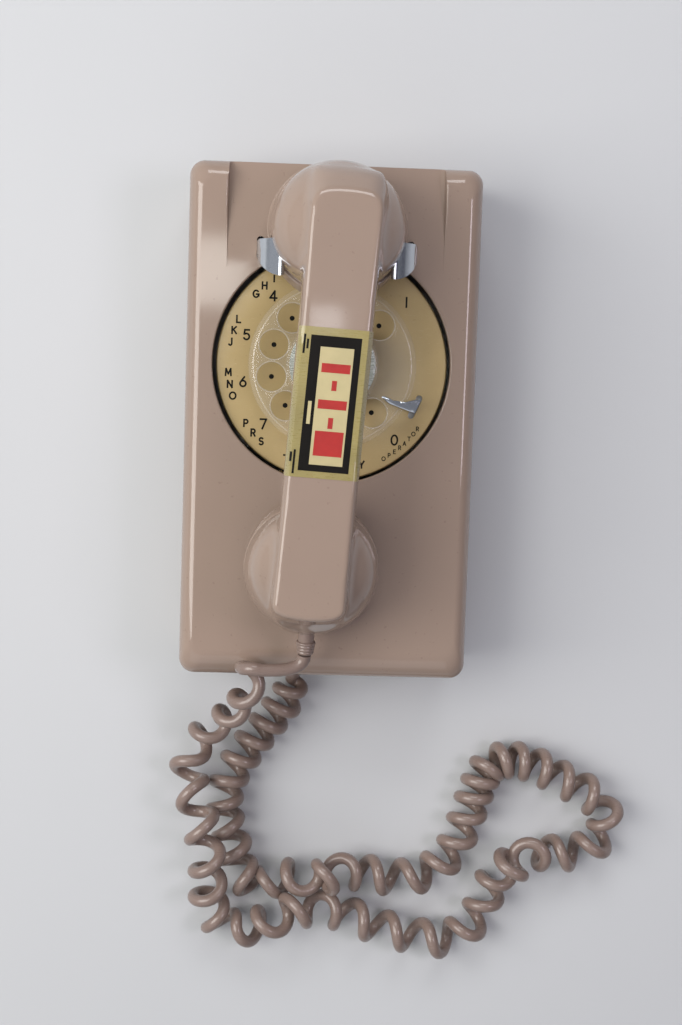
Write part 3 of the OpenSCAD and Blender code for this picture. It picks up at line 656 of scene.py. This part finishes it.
def field_mesh(field, low, high, step):
    """Quads on the zero surface of a distance field sampled on an even grid, in mm."""
    grid = [np.arange(low[k], high[k] + step, step) for k in range(3)]
    space = np.stack(np.meshgrid(*grid, indexing="ij"), -1)
    inside = field(space) < 0
    corners = sum(
        inside[i:inside.shape[0] - 1 + i, j:inside.shape[1] - 1 + j, k:inside.shape[2] - 1 + k]
        .astype(int) for i in (0, 1) for j in (0, 1) for k in (0, 1)
    )
    active = (corners > 0) & (corners < 8)
    index = -np.ones(active.shape, int)
    index[active] = np.arange(active.sum())
    points = np.stack([grid[k][np.nonzero(active)[k]] + step / 2 for k in range(3)], 1)
    faces = []
    for axis in range(3):
        b, c = (axis + 1) % 3, (axis + 2) % 3
        here = [slice(None)] * 3
        here[axis] = slice(0, -1)
        there = [slice(None)] * 3
        there[axis] = slice(1, None)
        change = inside[tuple(here)].astype(int) - inside[tuple(there)].astype(int)
        where = np.argwhere(change != 0)
        sign = change[tuple(where.T)]
        ring = []
        for db, dc in ((-1, -1), (0, -1), (0, 0), (-1, 0)):
            cell = where.copy()
            cell[:, b] += db
            cell[:, c] += dc
            ring.append(index[tuple(cell.T)])
        quads = np.stack(ring, 1)
        quads[sign < 0] = quads[sign < 0][:, ::-1]
        faces.append(quads)
    faces = np.concatenate(faces)
    for round_number in range(6):
        if 0 < round_number < 5:
            total = np.zeros_like(points)
            count = np.zeros(len(points))
            for k in range(4):
                for other in (1, 3):
                    np.add.at(total, faces[:, k], points[faces[:, (k + other) % 4]])
                    np.add.at(count, faces[:, k], 1)
            points = 0.5 * points + 0.5 * total / count[:, None]
        for _ in range(3):
            value = field(points)
            slope = np.stack([
                field(points + e) - field(points - e) for e in np.eye(3) * 0.02
            ], 1) / 0.04
            size = np.maximum((slope ** 2).sum(1), 0.05)
            points = points - np.clip(value / size, -step, step)[:, None] * slope
    return points, faces


# ---------- handset ----------

# The grip in mm: half its back's width, its widest half, where its back's edge and ends are measured
GRIP_HALF, GRIP_WIDEST, EDGE_Z, END_Z = 14.3, 16.6, 58, 57
# The domes over the caps: radius, foot above the cap's face, and where the round top begins
DOME_R, DOME_FOOT, DOME_START = 30.5, 12.2, 12.5
MIDDLE_Y = -SPAN / MM / 2


def rotated(p, origin_y, degrees):
    """Coordinates in a cap's own frame, tilted about X at a place along the grip, in mm."""
    a = radians(degrees)
    y, z = p[..., 1] - origin_y, p[..., 2]
    return p[..., 0], y * cos(a) + z * sin(a), z * cos(a) - y * sin(a)


def grip_back(y):
    """Height of the grip's back, highest in its middle, in mm."""
    return 56 + 2.4 * (1 - ((y - MIDDLE_Y) / 90) ** 2)


def grip_shift(y):
    """How far the grip's middle line stands off the line between the caps, in mm."""
    return 0.5 + 0.019 * (y - MIDDLE_Y)


def handset_field(p):
    """Distance to the grip, in mm: a bar with slanting sides, a dome over each cap, two hollows."""
    span = SPAN / MM
    y, z = p[..., 1], p[..., 2]
    x = np.abs(p[..., 0] - grip_shift(y))
    under = 31 + 5 * (1 - ((y - MIDDLE_Y) / 52) ** 2) - z
    upper_side = (x - GRIP_HALF) * 0.958 + (z - EDGE_Z) * 0.287
    lower_side = (x - 16.5) * 0.93 - (z - 42) * 0.37
    bar = soft_max(upper_side, x - GRIP_WIDEST, 2.5)
    bar = soft_max(bar, lower_side, 5)
    bar = soft_max(bar, under, 6)
    corner = (x / GRIP_HALF) ** 6
    ear_end = (y - 11.8 + 0.007 * x ** 2 + 3 * corner) * 0.70 + (z - END_Z) * 0.71
    mouth_end = (-167.3 - y + 0.008 * x ** 2 + 1.5 * corner) * 0.97 + (z - END_Z) * 0.24
    bar = soft_max(bar, soft_max(ear_end, y - 24, 6), 2.0)
    whole = soft_max(bar, mouth_end, 2.0)
    for origin, tilt, reach, height, taper, wide in (
            (0, -CAP_TILT, 1, 40, 0.06, 1.04), (-span, CAP_TILT, -1, 37, 0.12, 1.035)):
        cx, cy, cz = rotated(p, origin, tilt)
        cx, cy = cx / wide, cy / wide
        high = np.maximum(cz - DOME_START, 0)
        cy = cy + reach * sin(radians(CAP_TILT)) * high * 1.3
        r = np.sqrt(cx ** 2 + cy ** 2)
        round_top = (r ** 2.5 + (high * DOME_R / height) ** 2.5) ** 0.4 - DOME_R
        cone = (r + taper * high - 29.8) * 0.97
        dome = soft_max(soft_max(round_top * 0.9, cone, 3), DOME_FOOT - cz, 0.8)
        whole = soft_min(whole, dome, 4)
        whole = np.where(r < 40, np.maximum(whole, DOME_FOOT - cz), whole)
    whole = soft_max(whole, z - grip_back(y), 1.5)
    for origin, tilt in ((0, -CAP_TILT), (-span, CAP_TILT)):
        cx, cy, cz = rotated(p, origin, tilt)
        r = np.sqrt(cx ** 2 + cy ** 2)
        cavity = np.minimum(np.maximum(r - 26.9, cz - 15), np.maximum(r - 24.4, cz - 20.2))
        whole = np.maximum(whole, -cavity)
    return whole


def make_handset_body():
    points, faces = field_mesh(handset_field, (-34, -184, 5), (34, 34, 62), 1.15)
    mesh = mesh_of("handset_grip", placed(points * MM, ON_HANDSET), faces)
    piece = add_object("handset_grip", mesh, "shell", HANDSET, angle=60)
    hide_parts("handset_body")


def make_cap(name, node, matrix, holes, r=CAP_R):
    """Screwed cap: a soft-edged rim, a slightly dished face with its holes, and a hollow inside."""
    h = CAP_H
    profile = [(0, 0.5 * MM), (r - 9 * MM, 0.35 * MM)]
    profile += arc(r - 3.2 * MM, 3.2 * MM, 3.2 * MM, -90, 0, 8)
    profile += arc(r - 0.7 * MM, h - 0.75 * MM, 0.7 * MM, 0, 90, 4)
    profile += [(r - 2.4 * MM, h - 0.05 * MM), (r - 2.4 * MM, 2.6 * MM), (0, 2.6 * MM)]
    body = solid(name, *lathe(profile, 128))
    cut(body, [
        solid("hole", *lathe([(0, -MM), (size, -MM), (size, 4 * MM), (0, 4 * MM)], 20),
              shift(x, y, 0))
        for x, y, size in holes
    ])
    mesh = take_mesh(body)
    mesh.transform(matrix)
    piece = add_object(name, mesh, "shell", HANDSET, angle=30)
    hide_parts(node)


def hole_ring(count, radius, size):
    angles = [2 * pi * k / count for k in range(count)]
    return [(radius * cos(a), radius * sin(a), size) for a in angles]


def make_bushing():
    """Moulded sleeve with grip rings where the cord enters the mouth cup."""
    profile = [(3.05, -5.5), (3.58, -5.5), (3.58, 0)]
    for i in range(4):
        z, r = 0.1 + i * 1.45, 4.35 - 0.16 * i
        profile += [(r - 0.2, z), (r, z + 0.2), (r, z + 0.95), (r - 0.2, z + 1.15),
                    (r - 0.35, z + 1.3)]
    profile += [(3.05, 6.1)]
    place = ON_MOUTH @ shift(0, -31.2 * MM, 19 * MM) @ turn(90, "X")
    piece = solid("cord_bushing", *lathe(in_mm(profile), 40), place)
    piece = add_object("cord_bushing", take_mesh(piece), "cord", HANDSET, angle=50)
    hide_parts("handset_bushing")


# Heights of the label's layers over the grip's back, in mm
TAPE_LIFT, FRAME_LIFT, PANEL_LIFT, BLOCK_LIFT = 0.06, 0.17, 0.23, 0.28


def back_surface(x, y):
    """Height of the grip's back, with its rounded edge and slanting side, in mm."""
    side = EDGE_Z - (abs(x) - GRIP_HALF) * 3.338
    top = grip_back(y)
    h = min(1.0, max(0.0, 0.5 + 0.5 * (side - top) / 2.4))
    return side * (1 - h) + top * h - 2.4 * h * (1 - h)


def handle_patch(name, key, width, low, high, lift, centre=(0, 0), thick=0.05):
    """Thin rectangle laid on the grip's back, low to high along it from the label's middle, in mm."""
    across, along = max(2, round(width)), max(2, round((high - low) / 2))
    tilt = radians(-0.4)
    points = []
    for level in (lift, lift + thick):
        for j in range(along + 1):
            for i in range(across + 1):
                x = centre[0] - width / 2 + width * i / across
                y = centre[1] + low + (high - low) * j / along
                x, y = x - y * tilt, MIDDLE_Y - 2.2 + y + x * tilt
                over = min(1.0, max(0.0, (abs(x) - 13) / 2))
                outward = copysign(level * over, x) + grip_shift(y)
                points.append(Vector((x + outward, y, back_surface(x, y) + level)) * MM)
    layer = (across + 1) * (along + 1)
    faces = []
    for j in range(along):
        for i in range(across):
            a = j * (across + 1) + i
            quad = (a, a + 1, a + across + 2, a + across + 1)
            faces.append(tuple(v + layer for v in quad))
            faces.append(tuple(reversed(quad)))
    rim = list(range(across)) + [j * (across + 1) + across for j in range(along)]
    rim += [along * (across + 1) + across - i for i in range(across)]
    rim += [(along - j) * (across + 1) for j in range(along)]
    for k, a in enumerate(rim):
        b = rim[(k + 1) % len(rim)]
        faces.append((a, b, b + layer, a + layer))
    return add_object(name, mesh_of(name, placed(points, ON_HANDSET), faces), key, HANDSET)


def make_label():
    """Aged tape under a black frame, with a cream panel and plain red blocks."""
    tape = handle_patch("label_tape", "label", 31, -31.3, 31.3, TAPE_LIFT, thick=0.1)
    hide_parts("handset_label")
    handle_patch("label_frame", "label_black", 21.2, -28.2, 28.2, FRAME_LIFT, (0.35, -0.3))
    handle_patch("label_panel", "label_cream", 14, -24.5, 24.5, PANEL_LIFT, (1.1, -1.2))
    blocks = [(14.7, 3.8, 12), (7.5, 4.2, 2.1), (-0.4, 3.8, 12), (-8.1, 4.6, 2.1), (-16.7, 10.4, 12)]
    for i, (y, tall, width) in enumerate(blocks):
        handle_patch(f"label_block_{i}", "label_red", width, y - tall / 2, y + tall / 2,
                     BLOCK_LIFT, (1.3, 0))
    handle_patch("label_note", "label_cream", 1.5, -9, 0.5, PANEL_LIFT, (-8, 0))
    marks = [(-12.8, 20, 28), (-11.4, 22, 26), (-12.2, -30, -20), (-13.6, -25, -21)]
    for i, (x, low, high) in enumerate(marks):
        handle_patch(f"label_mark_{i}", "label_black", 0.9, low, high, FRAME_LIFT, (x, 0))


make_handset_body()
make_cap("ear_cap_piece", "ear_cap", ON_EAR, [(0, 0, 1.6 * MM)] + hole_ring(6, 7 * MM, 1.6 * MM),
         EAR_CAP_R)
make_cap("mouth_cap_piece", "mouth_cap", ON_MOUTH,
         hole_ring(6, 5.5 * MM, 1.2 * MM) + hole_ring(12, 11 * MM, 1.2 * MM)
         + hole_ring(18, 16.5 * MM, 1.2 * MM))
make_bushing()
make_label()


# ---------- dial ----------

def clock_point(degrees, r):
    """Point on the dial at an angle counted clockwise from the top."""
    a = radians(degrees)
    return DIAL.x + r * sin(a), DIAL.y + r * cos(a)


def make_number_plate():
    """Enamelled disc with a rolled rim and a shallow dished middle."""
    low, high, edge = plate_lo.z, plate_hi.z, 0.5 * MM
    profile = [(9.5 * MM, low), (PLATE_R - edge, low)]
    profile += arc(PLATE_R - edge, low + edge, edge, -90, 0, 4)[1:]
    profile += arc(PLATE_R - 0.9 * MM, high - 0.6 * MM, 0.6 * MM, 20, 90, 5)
    profile += [(WHEEL_R + 1.2 * MM, high - 0.02 * MM), (WHEEL_R + 0.7 * MM, high - 0.12 * MM)]
    profile += [(10 * MM, high - 0.12 * MM), (9.5 * MM, high - 0.3 * MM)]
    piece = solid("number_plate_disc", *lathe(profile, 160), shift(*DIAL))
    foot = shift(42.7 * MM, -0.4 * MM, low - 2 * MM)
    place = shift(*DIAL) @ turn(STOP_ANGLE, "Z") @ foot
    cut(piece, [round_slot("stop_slot", 2.9 * MM, 11.6 * MM, 6 * MM, place)])
    piece = add_object("number_plate_disc", take_mesh(piece), "plate", BASE, angle=30)
    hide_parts("number_plate")


# Characters as strokes in a box one unit tall: points, or (centre x, y, radii x, y, start, end)
STROKES = {
    "A": [[(-0.36, 0), (0, 1), (0.36, 0)], [(-0.24, 0.32), (0.24, 0.32)]],
    "B": [[(0, 0.54), (-0.28, 0.54), (-0.28, 0), (0, 0)], [(0, 1), (-0.28, 1), (-0.28, 0.54)],
          (0, 0.27, 0.28, 0.27, 90, -90), (0, 0.77, 0.24, 0.23, 90, -90)],
    "C": [(0.02, 0.5, 0.4, 0.5, 42, 318)],
    "D": [[(0, 0), (-0.3, 0), (-0.3, 1), (0, 1)], (0, 0.5, 0.36, 0.5, 90, -90)],
    "E": [[(0.28, 1), (-0.26, 1), (-0.26, 0), (0.28, 0)], [(-0.26, 0.52), (0.2, 0.52)]],
    "F": [[(0.28, 1), (-0.26, 1), (-0.26, 0)], [(-0.26, 0.52), (0.2, 0.52)]],
    "G": [(0.02, 0.5, 0.4, 0.5, 45, 342), [(0.08, 0.46), (0.42, 0.46), (0.4, 0.2)]],
    "H": [[(-0.32, 0), (-0.32, 1)], [(0.32, 0), (0.32, 1)], [(-0.32, 0.52), (0.32, 0.52)]],
    "I": [[(0, 0), (0, 1)]],
    "J": [[(0.16, 1), (0.16, 0.26)], (-0.06, 0.26, 0.22, 0.26, 0, -150)],
    "K": [[(-0.28, 0), (-0.28, 1)], [(0.3, 1), (-0.28, 0.42)], [(-0.08, 0.6), (0.34, 0)]],
    "L": [[(-0.26, 1), (-0.26, 0), (0.28, 0)]],
    "M": [[(-0.4, 0), (-0.34, 1), (0, 0.25), (0.34, 1), (0.4, 0)]],
    "N": [[(-0.33, 0), (-0.33, 1), (0.33, 0), (0.33, 1)]],
    "O": [(0, 0.5, 0.45, 0.5, 0, 360)],
    "P": [[(-0.26, 0), (-0.26, 1), (0.04, 1)], [(0.04, 0.46), (-0.26, 0.46)],
          (0.04, 0.73, 0.25, 0.27, 90, -90)],
    "S": [(0, 0.74, 0.25, 0.26, 35, 270), (0, 0.25, 0.28, 0.25, 90, -145)],
    "T": [[(-0.34, 1), (0.34, 1)], [(0, 0), (0, 1)]],
    "U": [[(-0.3, 1), (-0.3, 0.32)], (0, 0.32, 0.3, 0.32, 180, 360), [(0.3, 0.32), (0.3, 1)]],
    "V": [[(-0.35, 1), (0, 0), (0.35, 1)]],
    "W": [[(-0.46, 1), (-0.24, 0), (0, 0.8), (0.24, 0), (0.46, 1)]],
    "X": [[(-0.32, 0), (0.32, 1)], [(-0.32, 1), (0.32, 0)]],
    "Y": [[(-0.33, 1), (0, 0.45), (0.33, 1)], [(0, 0.45), (0, 0)]],
    "0": [(0, 0.5, 0.32, 0.5, 0, 360)],
    "2": [(0, 0.72, 0.28, 0.28, 160, -35), [(0.23, 0.56), (-0.3, 0), (0.32, 0)]],
    "3": [(-0.02, 0.75, 0.25, 0.25, 150, -90), (-0.02, 0.26, 0.29, 0.26, 90, -150)],
    "4": [[(0.14, 0), (0.14, 1), (-0.34, 0.28), (0.36, 0.28)]],
    "5": [[(0.26, 1), (-0.2, 1), (-0.25, 0.56)], (-0.02, 0.31, 0.3, 0.31, 120, -150)],
    "6": [(0, 0.3, 0.3, 0.3, 0, 360), [(-0.27, 0.43), (0.14, 1)]],
    "7": [[(-0.3, 1), (0.32, 1), (-0.08, 0)]],
    "8": [(0, 0.76, 0.24, 0.24, 0, 360), (0, 0.27, 0.29, 0.27, 0, 360)],
    "9": [(0, 0.7, 0.3, 0.3, 0, 360), [(0.27, 0.57), (-0.14, 0)]],
}
STROKES["R"] = STROKES["P"] + [[(0.04, 0.46), (0.3, 0)]]
STROKES["1"] = STROKES["I"]


def glyph_lines(character):
    """The strokes of a character about its middle, one unit tall: curves and single straight lines."""
    lines = []
    for stroke in STROKES[character]:
        if isinstance(stroke, tuple):
            cx, cy, rx, ry, start, end = stroke
            steps = max(6, round(abs(end - start) / 15))
            angles = [radians(start + (end - start) * i / steps) for i in range(steps + 1)]
            lines.append([(cx + rx * cos(a), cy + ry * sin(a) - 0.5) for a in angles])
        else:
            lines += [[(a[0], a[1] - 0.5), (b[0], b[1] - 0.5)] for a, b in zip(stroke, stroke[1:])]
    return lines


def stroke_band(line, half):
    """Left and right edges of a band of even width along a line, run on a little at its ends."""
    line = [Vector(p) for p in line]
    if (line[0] - line[-1]).length > half:
        line[0] += (line[0] - line[1]).normalized() * half * 0.8
        line[-1] += (line[-1] - line[-2]).normalized() * half * 0.8
        before, after = line[0], line[-1]
    else:
        before, after = line[-2], line[1]
    left, right = [], []
    for i, point in enumerate(line):
        way = (line[i + 1] if i + 1 < len(line) else after) - (line[i - 1] if i else before)
        side = Vector((-way.y, way.x)).normalized() * half
        left.append(point + side)
        right.append(point - side)
    return left, right


def make_dial_print():
    """Characters round the number plate and a dot under every finger hole."""
    points, faces = [], []
    z = plate_hi.z + 0.01 * MM

    def stamp(character, height, place, weight):
        tall = height - 2 * weight
        for level, line in enumerate(glyph_lines(character)):
            line = [(place[0] + x * tall, place[1] + y * tall) for x, y in line]
            first = len(points)
            for edge in stroke_band(line, weight):
                points.extend((x, y, z + 0.004 * MM * level) for x, y in edge)
            n = len(line)
            faces.extend((first + i, first + n + i, first + n + i + 1, first + i + 1)
                         for i in range(n - 1))

    groups = ["", "ABC", "DEF", "GHI", "JKL", "MNO", "PRS", "TUV", "WXY", ""]
    for k, (at, letters) in enumerate(zip(HOLE_ANGLES, groups)):
        reach = 41.3 if letters else 44.6
        stamp(str((k + 1) % 10), 5.2 * MM, clock_point(at, reach * MM), 0.42 * MM)
        forward = 1 if at > -90 else -1
        for j, letter in enumerate(letters):
            stamp(letter, 3.9 * MM, clock_point(at + forward * 6.6 * (j - 1), 47.4 * MM), 0.40 * MM)
    for j, letter in enumerate("OPERATOR"):
        stamp(letter, 2.2 * MM, clock_point(149 - 3.5 * j, 48.9 * MM), 0.21 * MM)
    dot = 1.15 * MM
    for at in HOLE_ANGLES:
        x, y = clock_point(at, HOLE_CIRCLE)
        first = len(points)
        points.extend((x + dot * cos(a), y + dot * sin(a), z - 0.1 * MM)
                      for a in np.linspace(0, 2 * pi, 24, endpoint=False))
        faces.append(tuple(range(first, first + 24)))
    piece = add_object("dial_print", mesh_of("dial_print", points, faces), "ink", BASE)


def make_finger_wheel():
    """Clear moulded wheel: bevelled rim, ten holes with rounded edges, their walls and lips carrying a
    paler, more opaque painted highlight.
    """
    low, high, r = wheel_lo.z, wheel_hi.z, WHEEL_R
    profile = [(0, low), (r - 0.8 * MM, low)]
    profile += arc(r - 0.6 * MM, low + 0.6 * MM, 0.6 * MM, -80, 0, 4)
    profile += [(r, low + 1.3 * MM), (r - 0.5 * MM, low + 1.9 * MM), (r - 2.0 * MM, high - 0.15 * MM)]
    profile += [(r - 2.5 * MM, high), (0, high)]
    body = solid("finger_wheel_clear", *lathe(profile, 180), shift(*DIAL))
    edge = 0.95 * MM
    hole = [(0, low - 5 * MM), (FINGER_R + edge, low - 5 * MM)]
    hole += arc(FINGER_R + edge, low + edge, edge, 270, 180, 4)
    hole += arc(FINGER_R + edge, high - edge, edge, 180, 90, 4)
    hole += [(FINGER_R + edge, high + 5 * MM), (0, high + 5 * MM)]
    cut(body, [
        solid("finger_hole", *lathe(hole, 48),
              shift(*clock_point(at, HOLE_CIRCLE), 0))
        for at in HOLE_ANGLES
    ])
    mesh = take_mesh(body)
    piece = add_object("finger_wheel_clear", mesh, "clear", "finger_wheel", ("clear_edge",), 30)
    # Hole walls and lips, not the outer rim, take the edge material: painted highlight on the hole
    # edges.
    for face in mesh.polygons:
        away = (face.center - DIAL).to_2d().length
        face.material_index = 1 if abs(face.normal.z) < 0.98 and away < WHEEL_R - 1.6 * MM else 0
    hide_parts("finger_wheel")


def make_retainer():
    """Clear domed retainer over the number card, with a milled rim."""
    base = wheel_hi.z
    points, faces = lathe([
        (19.7 * MM, base), (21.2 * MM, base), (21.2 * MM, base + 0.7 * MM),
        (20.7 * MM, base + 1.3 * MM), (19.8 * MM, base + 1.7 * MM), (12 * MM, base + 1.95 * MM),
        (0, base + 2.0 * MM), (0, base + 0.5 * MM), (19.7 * MM, base + 0.5 * MM)
    ], 144)
    for i, (x, y, z) in enumerate(points):
        r = hypot(x, y)
        if r > 21 * MM:
            squeeze = 1 - 0.006 * (1 + cos(72 * atan2(y, x)))
            points[i] = (x * squeeze, y * squeeze, z)
    piece = solid("card_retainer_clear", points, faces, shift(*DIAL))
    piece = add_object("card_retainer_clear", take_mesh(piece), "clear", "finger_wheel", (), 30)
    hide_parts("card_retainer")


def make_finger_stop():
    """Chrome strip: rises through a slot in the plate and hooks over the wheel, narrowing to its tip."""
    arm_z = stop_hi.z - 1.4 * MM
    along_stop = shift(*DIAL) @ turn(STOP_ANGLE, "Z")
    upper = [(26.0, -2.7), (27.1, -2.1), (29.2, -1.95), (31.6, -2.0), (33.6, -1.8), (35.2, -1.2),
             (36.8, -0.3), (38.2, 0.8), (39.8, 2.1), (41.5, 3.3), (42.9, 3.3)]
    lower = [(42.9, -3.2), (41.6, -3.4), (40, -3.65), (38, -3.85), (36, -4), (34, -4.15),
             (32, -4.35), (30.4, -4.4), (28.8, -4.1), (27.4, -3.5), (26.4, -3.1)]
    rings = []
    for z, shrink in ((0, 0.25), (0.35, 0), (1.05, 0), (1.4, 0.35)):
        ring = []
        for x, y in upper + lower:
            lift = 1.2 * max(0.0, (33 - x) / 7) ** 2
            middle = -3.1 if x < 33 else -1.2
            inner_y = y + (shrink if y < middle else -shrink)
            ring.append((x * MM, inner_y * MM, arm_z + (z + lift) * MM))
        rings.append(ring)
    arm = solid("finger_stop_hook", *joined_rings(rings), along_stop)
    riser = box_solid("riser", (41.5, 42.9), (-3.2, 3.3), (stop_lo.z / MM, arm_z / MM + 1.3))
    foot = box_solid("foot", (41.5, 45.7), (-3.2, 3.2), (stop_lo.z / MM, stop_lo.z / MM + 1.4))
    for part in (riser, foot):
        part.data.transform(along_stop)
    cut(arm, [riser, foot], "UNION")
    soften(arm, 0.55 * MM, 3, 50)
    piece = add_object("finger_stop_hook", take_mesh(arm), "chrome", BASE, angle=50)
    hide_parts("finger_stop")


make_number_plate()
make_dial_print()
make_finger_wheel()
make_retainer()
make_finger_stop()


# ---------- hook ----------

def smooth_path(points, pieces=5):
    """Points on a smooth plane curve through the given ones."""
    path = []
    for i in range(len(points) - 1):
        near = four_around(points, i)
        for j in range(pieces):
            path.append(tuple(between(*around, j / pieces) for around in zip(*near)))
    return path + [points[-1]]


def prong(sx):
    """Curved chrome ear that leans in over the ear cap's rim, cut round at its lower corner."""
    outer = smooth_path([(25.6, 94.9), (27.4, 93.2), (29.9, 90.9), (32.6, 87.9), (34.7, 84.2),
                         (35.5, 80), (35.3, 74), (35, 66)])
    inner = smooth_path([(33, 66), (33.2, 76), (33, 80.6), (31.4, 84.6), (28.9, 88),
                         (26, 90.9), (23.8, 92.7)])
    section = outer + inner + arc(24.6, 93.9, 1.4, 235, 55, 12)[1:-1]
    plate = solid(f"prong_{sx}", *joined_rings([
        in_mm((sx * x, y, z) for x, z in section) for y in (60, 90)
    ]))
    plan = [(20, 65.1)] + smooth_path([
        (23.5, 65.1), (26, 65.0), (29.5, 66.3), (32.6, 68.8), (34.6, 72), (35.4, 76), (35.4, 79.8),
        (34.4, 81)
    ], 6) + [(20, 81)]
    column = solid("prong_plan", *joined_rings([
        in_mm((sx * x, y, z) for x, y in plan) for z in (60, 100)
    ]))
    cut(plate, [column], "INTERSECT")
    return soften(plate, 0.45 * MM, 3, 45)


def make_hook():
    """Fork under the cover: two prongs on stems, joined by a bar and bored for the pivot pin."""
    lever = None
    for sx in (-1, 1):
        ear = prong(sx)
        side = tuple(sorted((sx * 33, sx * 35)))
        stem = box_solid("stem", side, (74.5, 80.5), (24, 69.5))
        soften(stem, 0.4 * MM, 2, 50)
        foot = box_solid("stem_foot", side, (77, 85), (12, 30))
        soften(foot, 0.8 * MM, 2, 50)
        cut(ear, [stem, foot], "UNION")
        if lever is None:
            lever = ear
        else:
            bar = box_solid("lever_bar", (-33.4, 33.4), (77.4, 84.6), (21, 23))
            cut(lever, [bar, ear], "UNION")
    bore = in_mm([(0, -50), (2.05, -50), (2.05, 50), (0, 50)])
    pivot = shift(0, 81 * MM, 16 * MM) @ turn(90, "Y")
    cut(lever, [solid("pin_bore", *lathe(bore, 32), pivot)])
    piece = add_object("hook_fork", take_mesh(lever), "chrome", "hook_lever", angle=50, flat=True)
    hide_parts("hook_lever")


make_hook()


# ---------- strain relief at the bottom edge, and the cord in it ----------

def make_strain_relief():
    """Rubber sleeve with two grip rings outside the housing and a flange inside it."""
    centre = (relief_lo + relief_hi) / 2
    inside = (relief_hi.y - relief_lo.y) / MM
    profile = [(3.1, 0), (4.6, 0), (5.0, 0.4)]
    for z in (1.0, 2.3):
        profile += [(5.3, z), (5.3, z + 0.6), (4.9, z + 0.75), (4.9, z + 1.1)]
    profile += [(5.85, 3.9), (5.85, inside - 1.6), (6.9, inside - 1.6), (6.9, inside), (3.1, inside)]
    place = shift(centre.x, relief_lo.y, centre.z) @ turn(-90, "X")
    piece = solid("cord_strain_relief_sleeve", *lathe(in_mm(profile), 48), place)
    piece = add_object("cord_strain_relief_sleeve", take_mesh(piece), "rubber", BASE, angle=45)
    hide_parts("cord_strain_relief")
    return piece


make_cord(make_strain_relief())


# ---------- materials on the frame's own nodes ----------

def dress_nodes():
    """Every CAD node keeps its shape and gets the worked material of its slot."""
    for entry in frame["record"]["subparts"]:
        for slot in frame["nodes"][entry["node"]].material_slots:
            slot.material = look(entry["material_slot"])


dress_nodes()


# ---------- floor and light ----------

def make_stage():
    """Plain pale floor."""
    mesh = mesh_of("floor", [(-4, -4, 0), (4, -4, 0), (4, 4, 0), (-4, 4, 0)], [(0, 1, 2, 3)])
    floor = link_object("floor", mesh)
    mesh.materials.append(surface("floor_paper", (0.52, 0.53, 0.54), (0.7, 0.8), mottle=0.012,
                                  mottle_scale=3, grain=200))


def area_light(name, place, target, size, power, color=(1, 1, 1)):
    """Rectangular light, in metres and watts; its first side is level."""
    data = bpy.data.lights.new(name, "AREA")
    data.shape = "RECTANGLE"
    data.size, data.size_y = size
    data.energy = power
    data.color = color
    light = link_object(name, data)
    light.location = place
    light.rotation_euler = (Vector(target) - Vector(place)).to_track_quat("-Z", "Y").to_euler()


def make_world():
    """Pale surroundings, brighter on the left than on the right."""
    world = bpy.data.worlds.new("studio")
    bpy.context.scene.world = world
    world.use_nodes = True
    nodes, links = world.node_tree.nodes, world.node_tree.links
    direction = nodes.new("ShaderNodeTexCoord")
    split = nodes.new("ShaderNodeSeparateXYZ")
    links.new(direction.outputs["Generated"], split.inputs["Vector"])
    spread = nodes.new("ShaderNodeMapRange")
    set_inputs(spread, {"From Min": -1})
    links.new(split.outputs["X"], spread.inputs["Value"])
    shade = ramp(nodes, links, spread.outputs["Result"], [
        (0.1, (0.46, 0.47, 0.50)), (0.5, (0.26, 0.265, 0.29)), (0.9, (0.13, 0.13, 0.155))
    ])
    links.new(shade.outputs["Color"], nodes["Background"].inputs["Color"])


def make_light():
    """Key light from the left, soft fills, and small panels for the reflections in the gloss."""
    bpy.context.scene.view_settings.view_transform = "Standard"
    make_world()
    area_light("ceiling_panel", (-0.335, 0.158, 1.5), (-0.335, 0.158, 0), (0.53, 0.095), 1.1,
               (1, 0.99, 0.93))
    area_light("key_left", (-1.0, 0.1, 1.1), (0, -0.02, 0.02), (0.9, 1.1), 19, (1, 0.98, 0.94))
    area_light("top_fill", (0.0, 1.2, 1.0), (0, 0.05, 0.05), (1.0, 0.5), 8.5, (0.98, 0.99, 1.0))
    area_light("front_fill", (-0.2, -1.1, 0.9), (0, -0.2, 0.0), (1.2, 0.8), 1.5, (0.97, 0.98, 1))
    area_light("window_right", (0.66, 0.09, 1.1), (0, 0, 0.05), (0.38, 0.32), 2.8, (0.97, 0.88, 1.0))
    area_light("grip_spot", (0.046, 0.24, 1.5), (0.046, 0.24, 0), (0.045, 0.06), 0.05)


make_stage()
make_light()
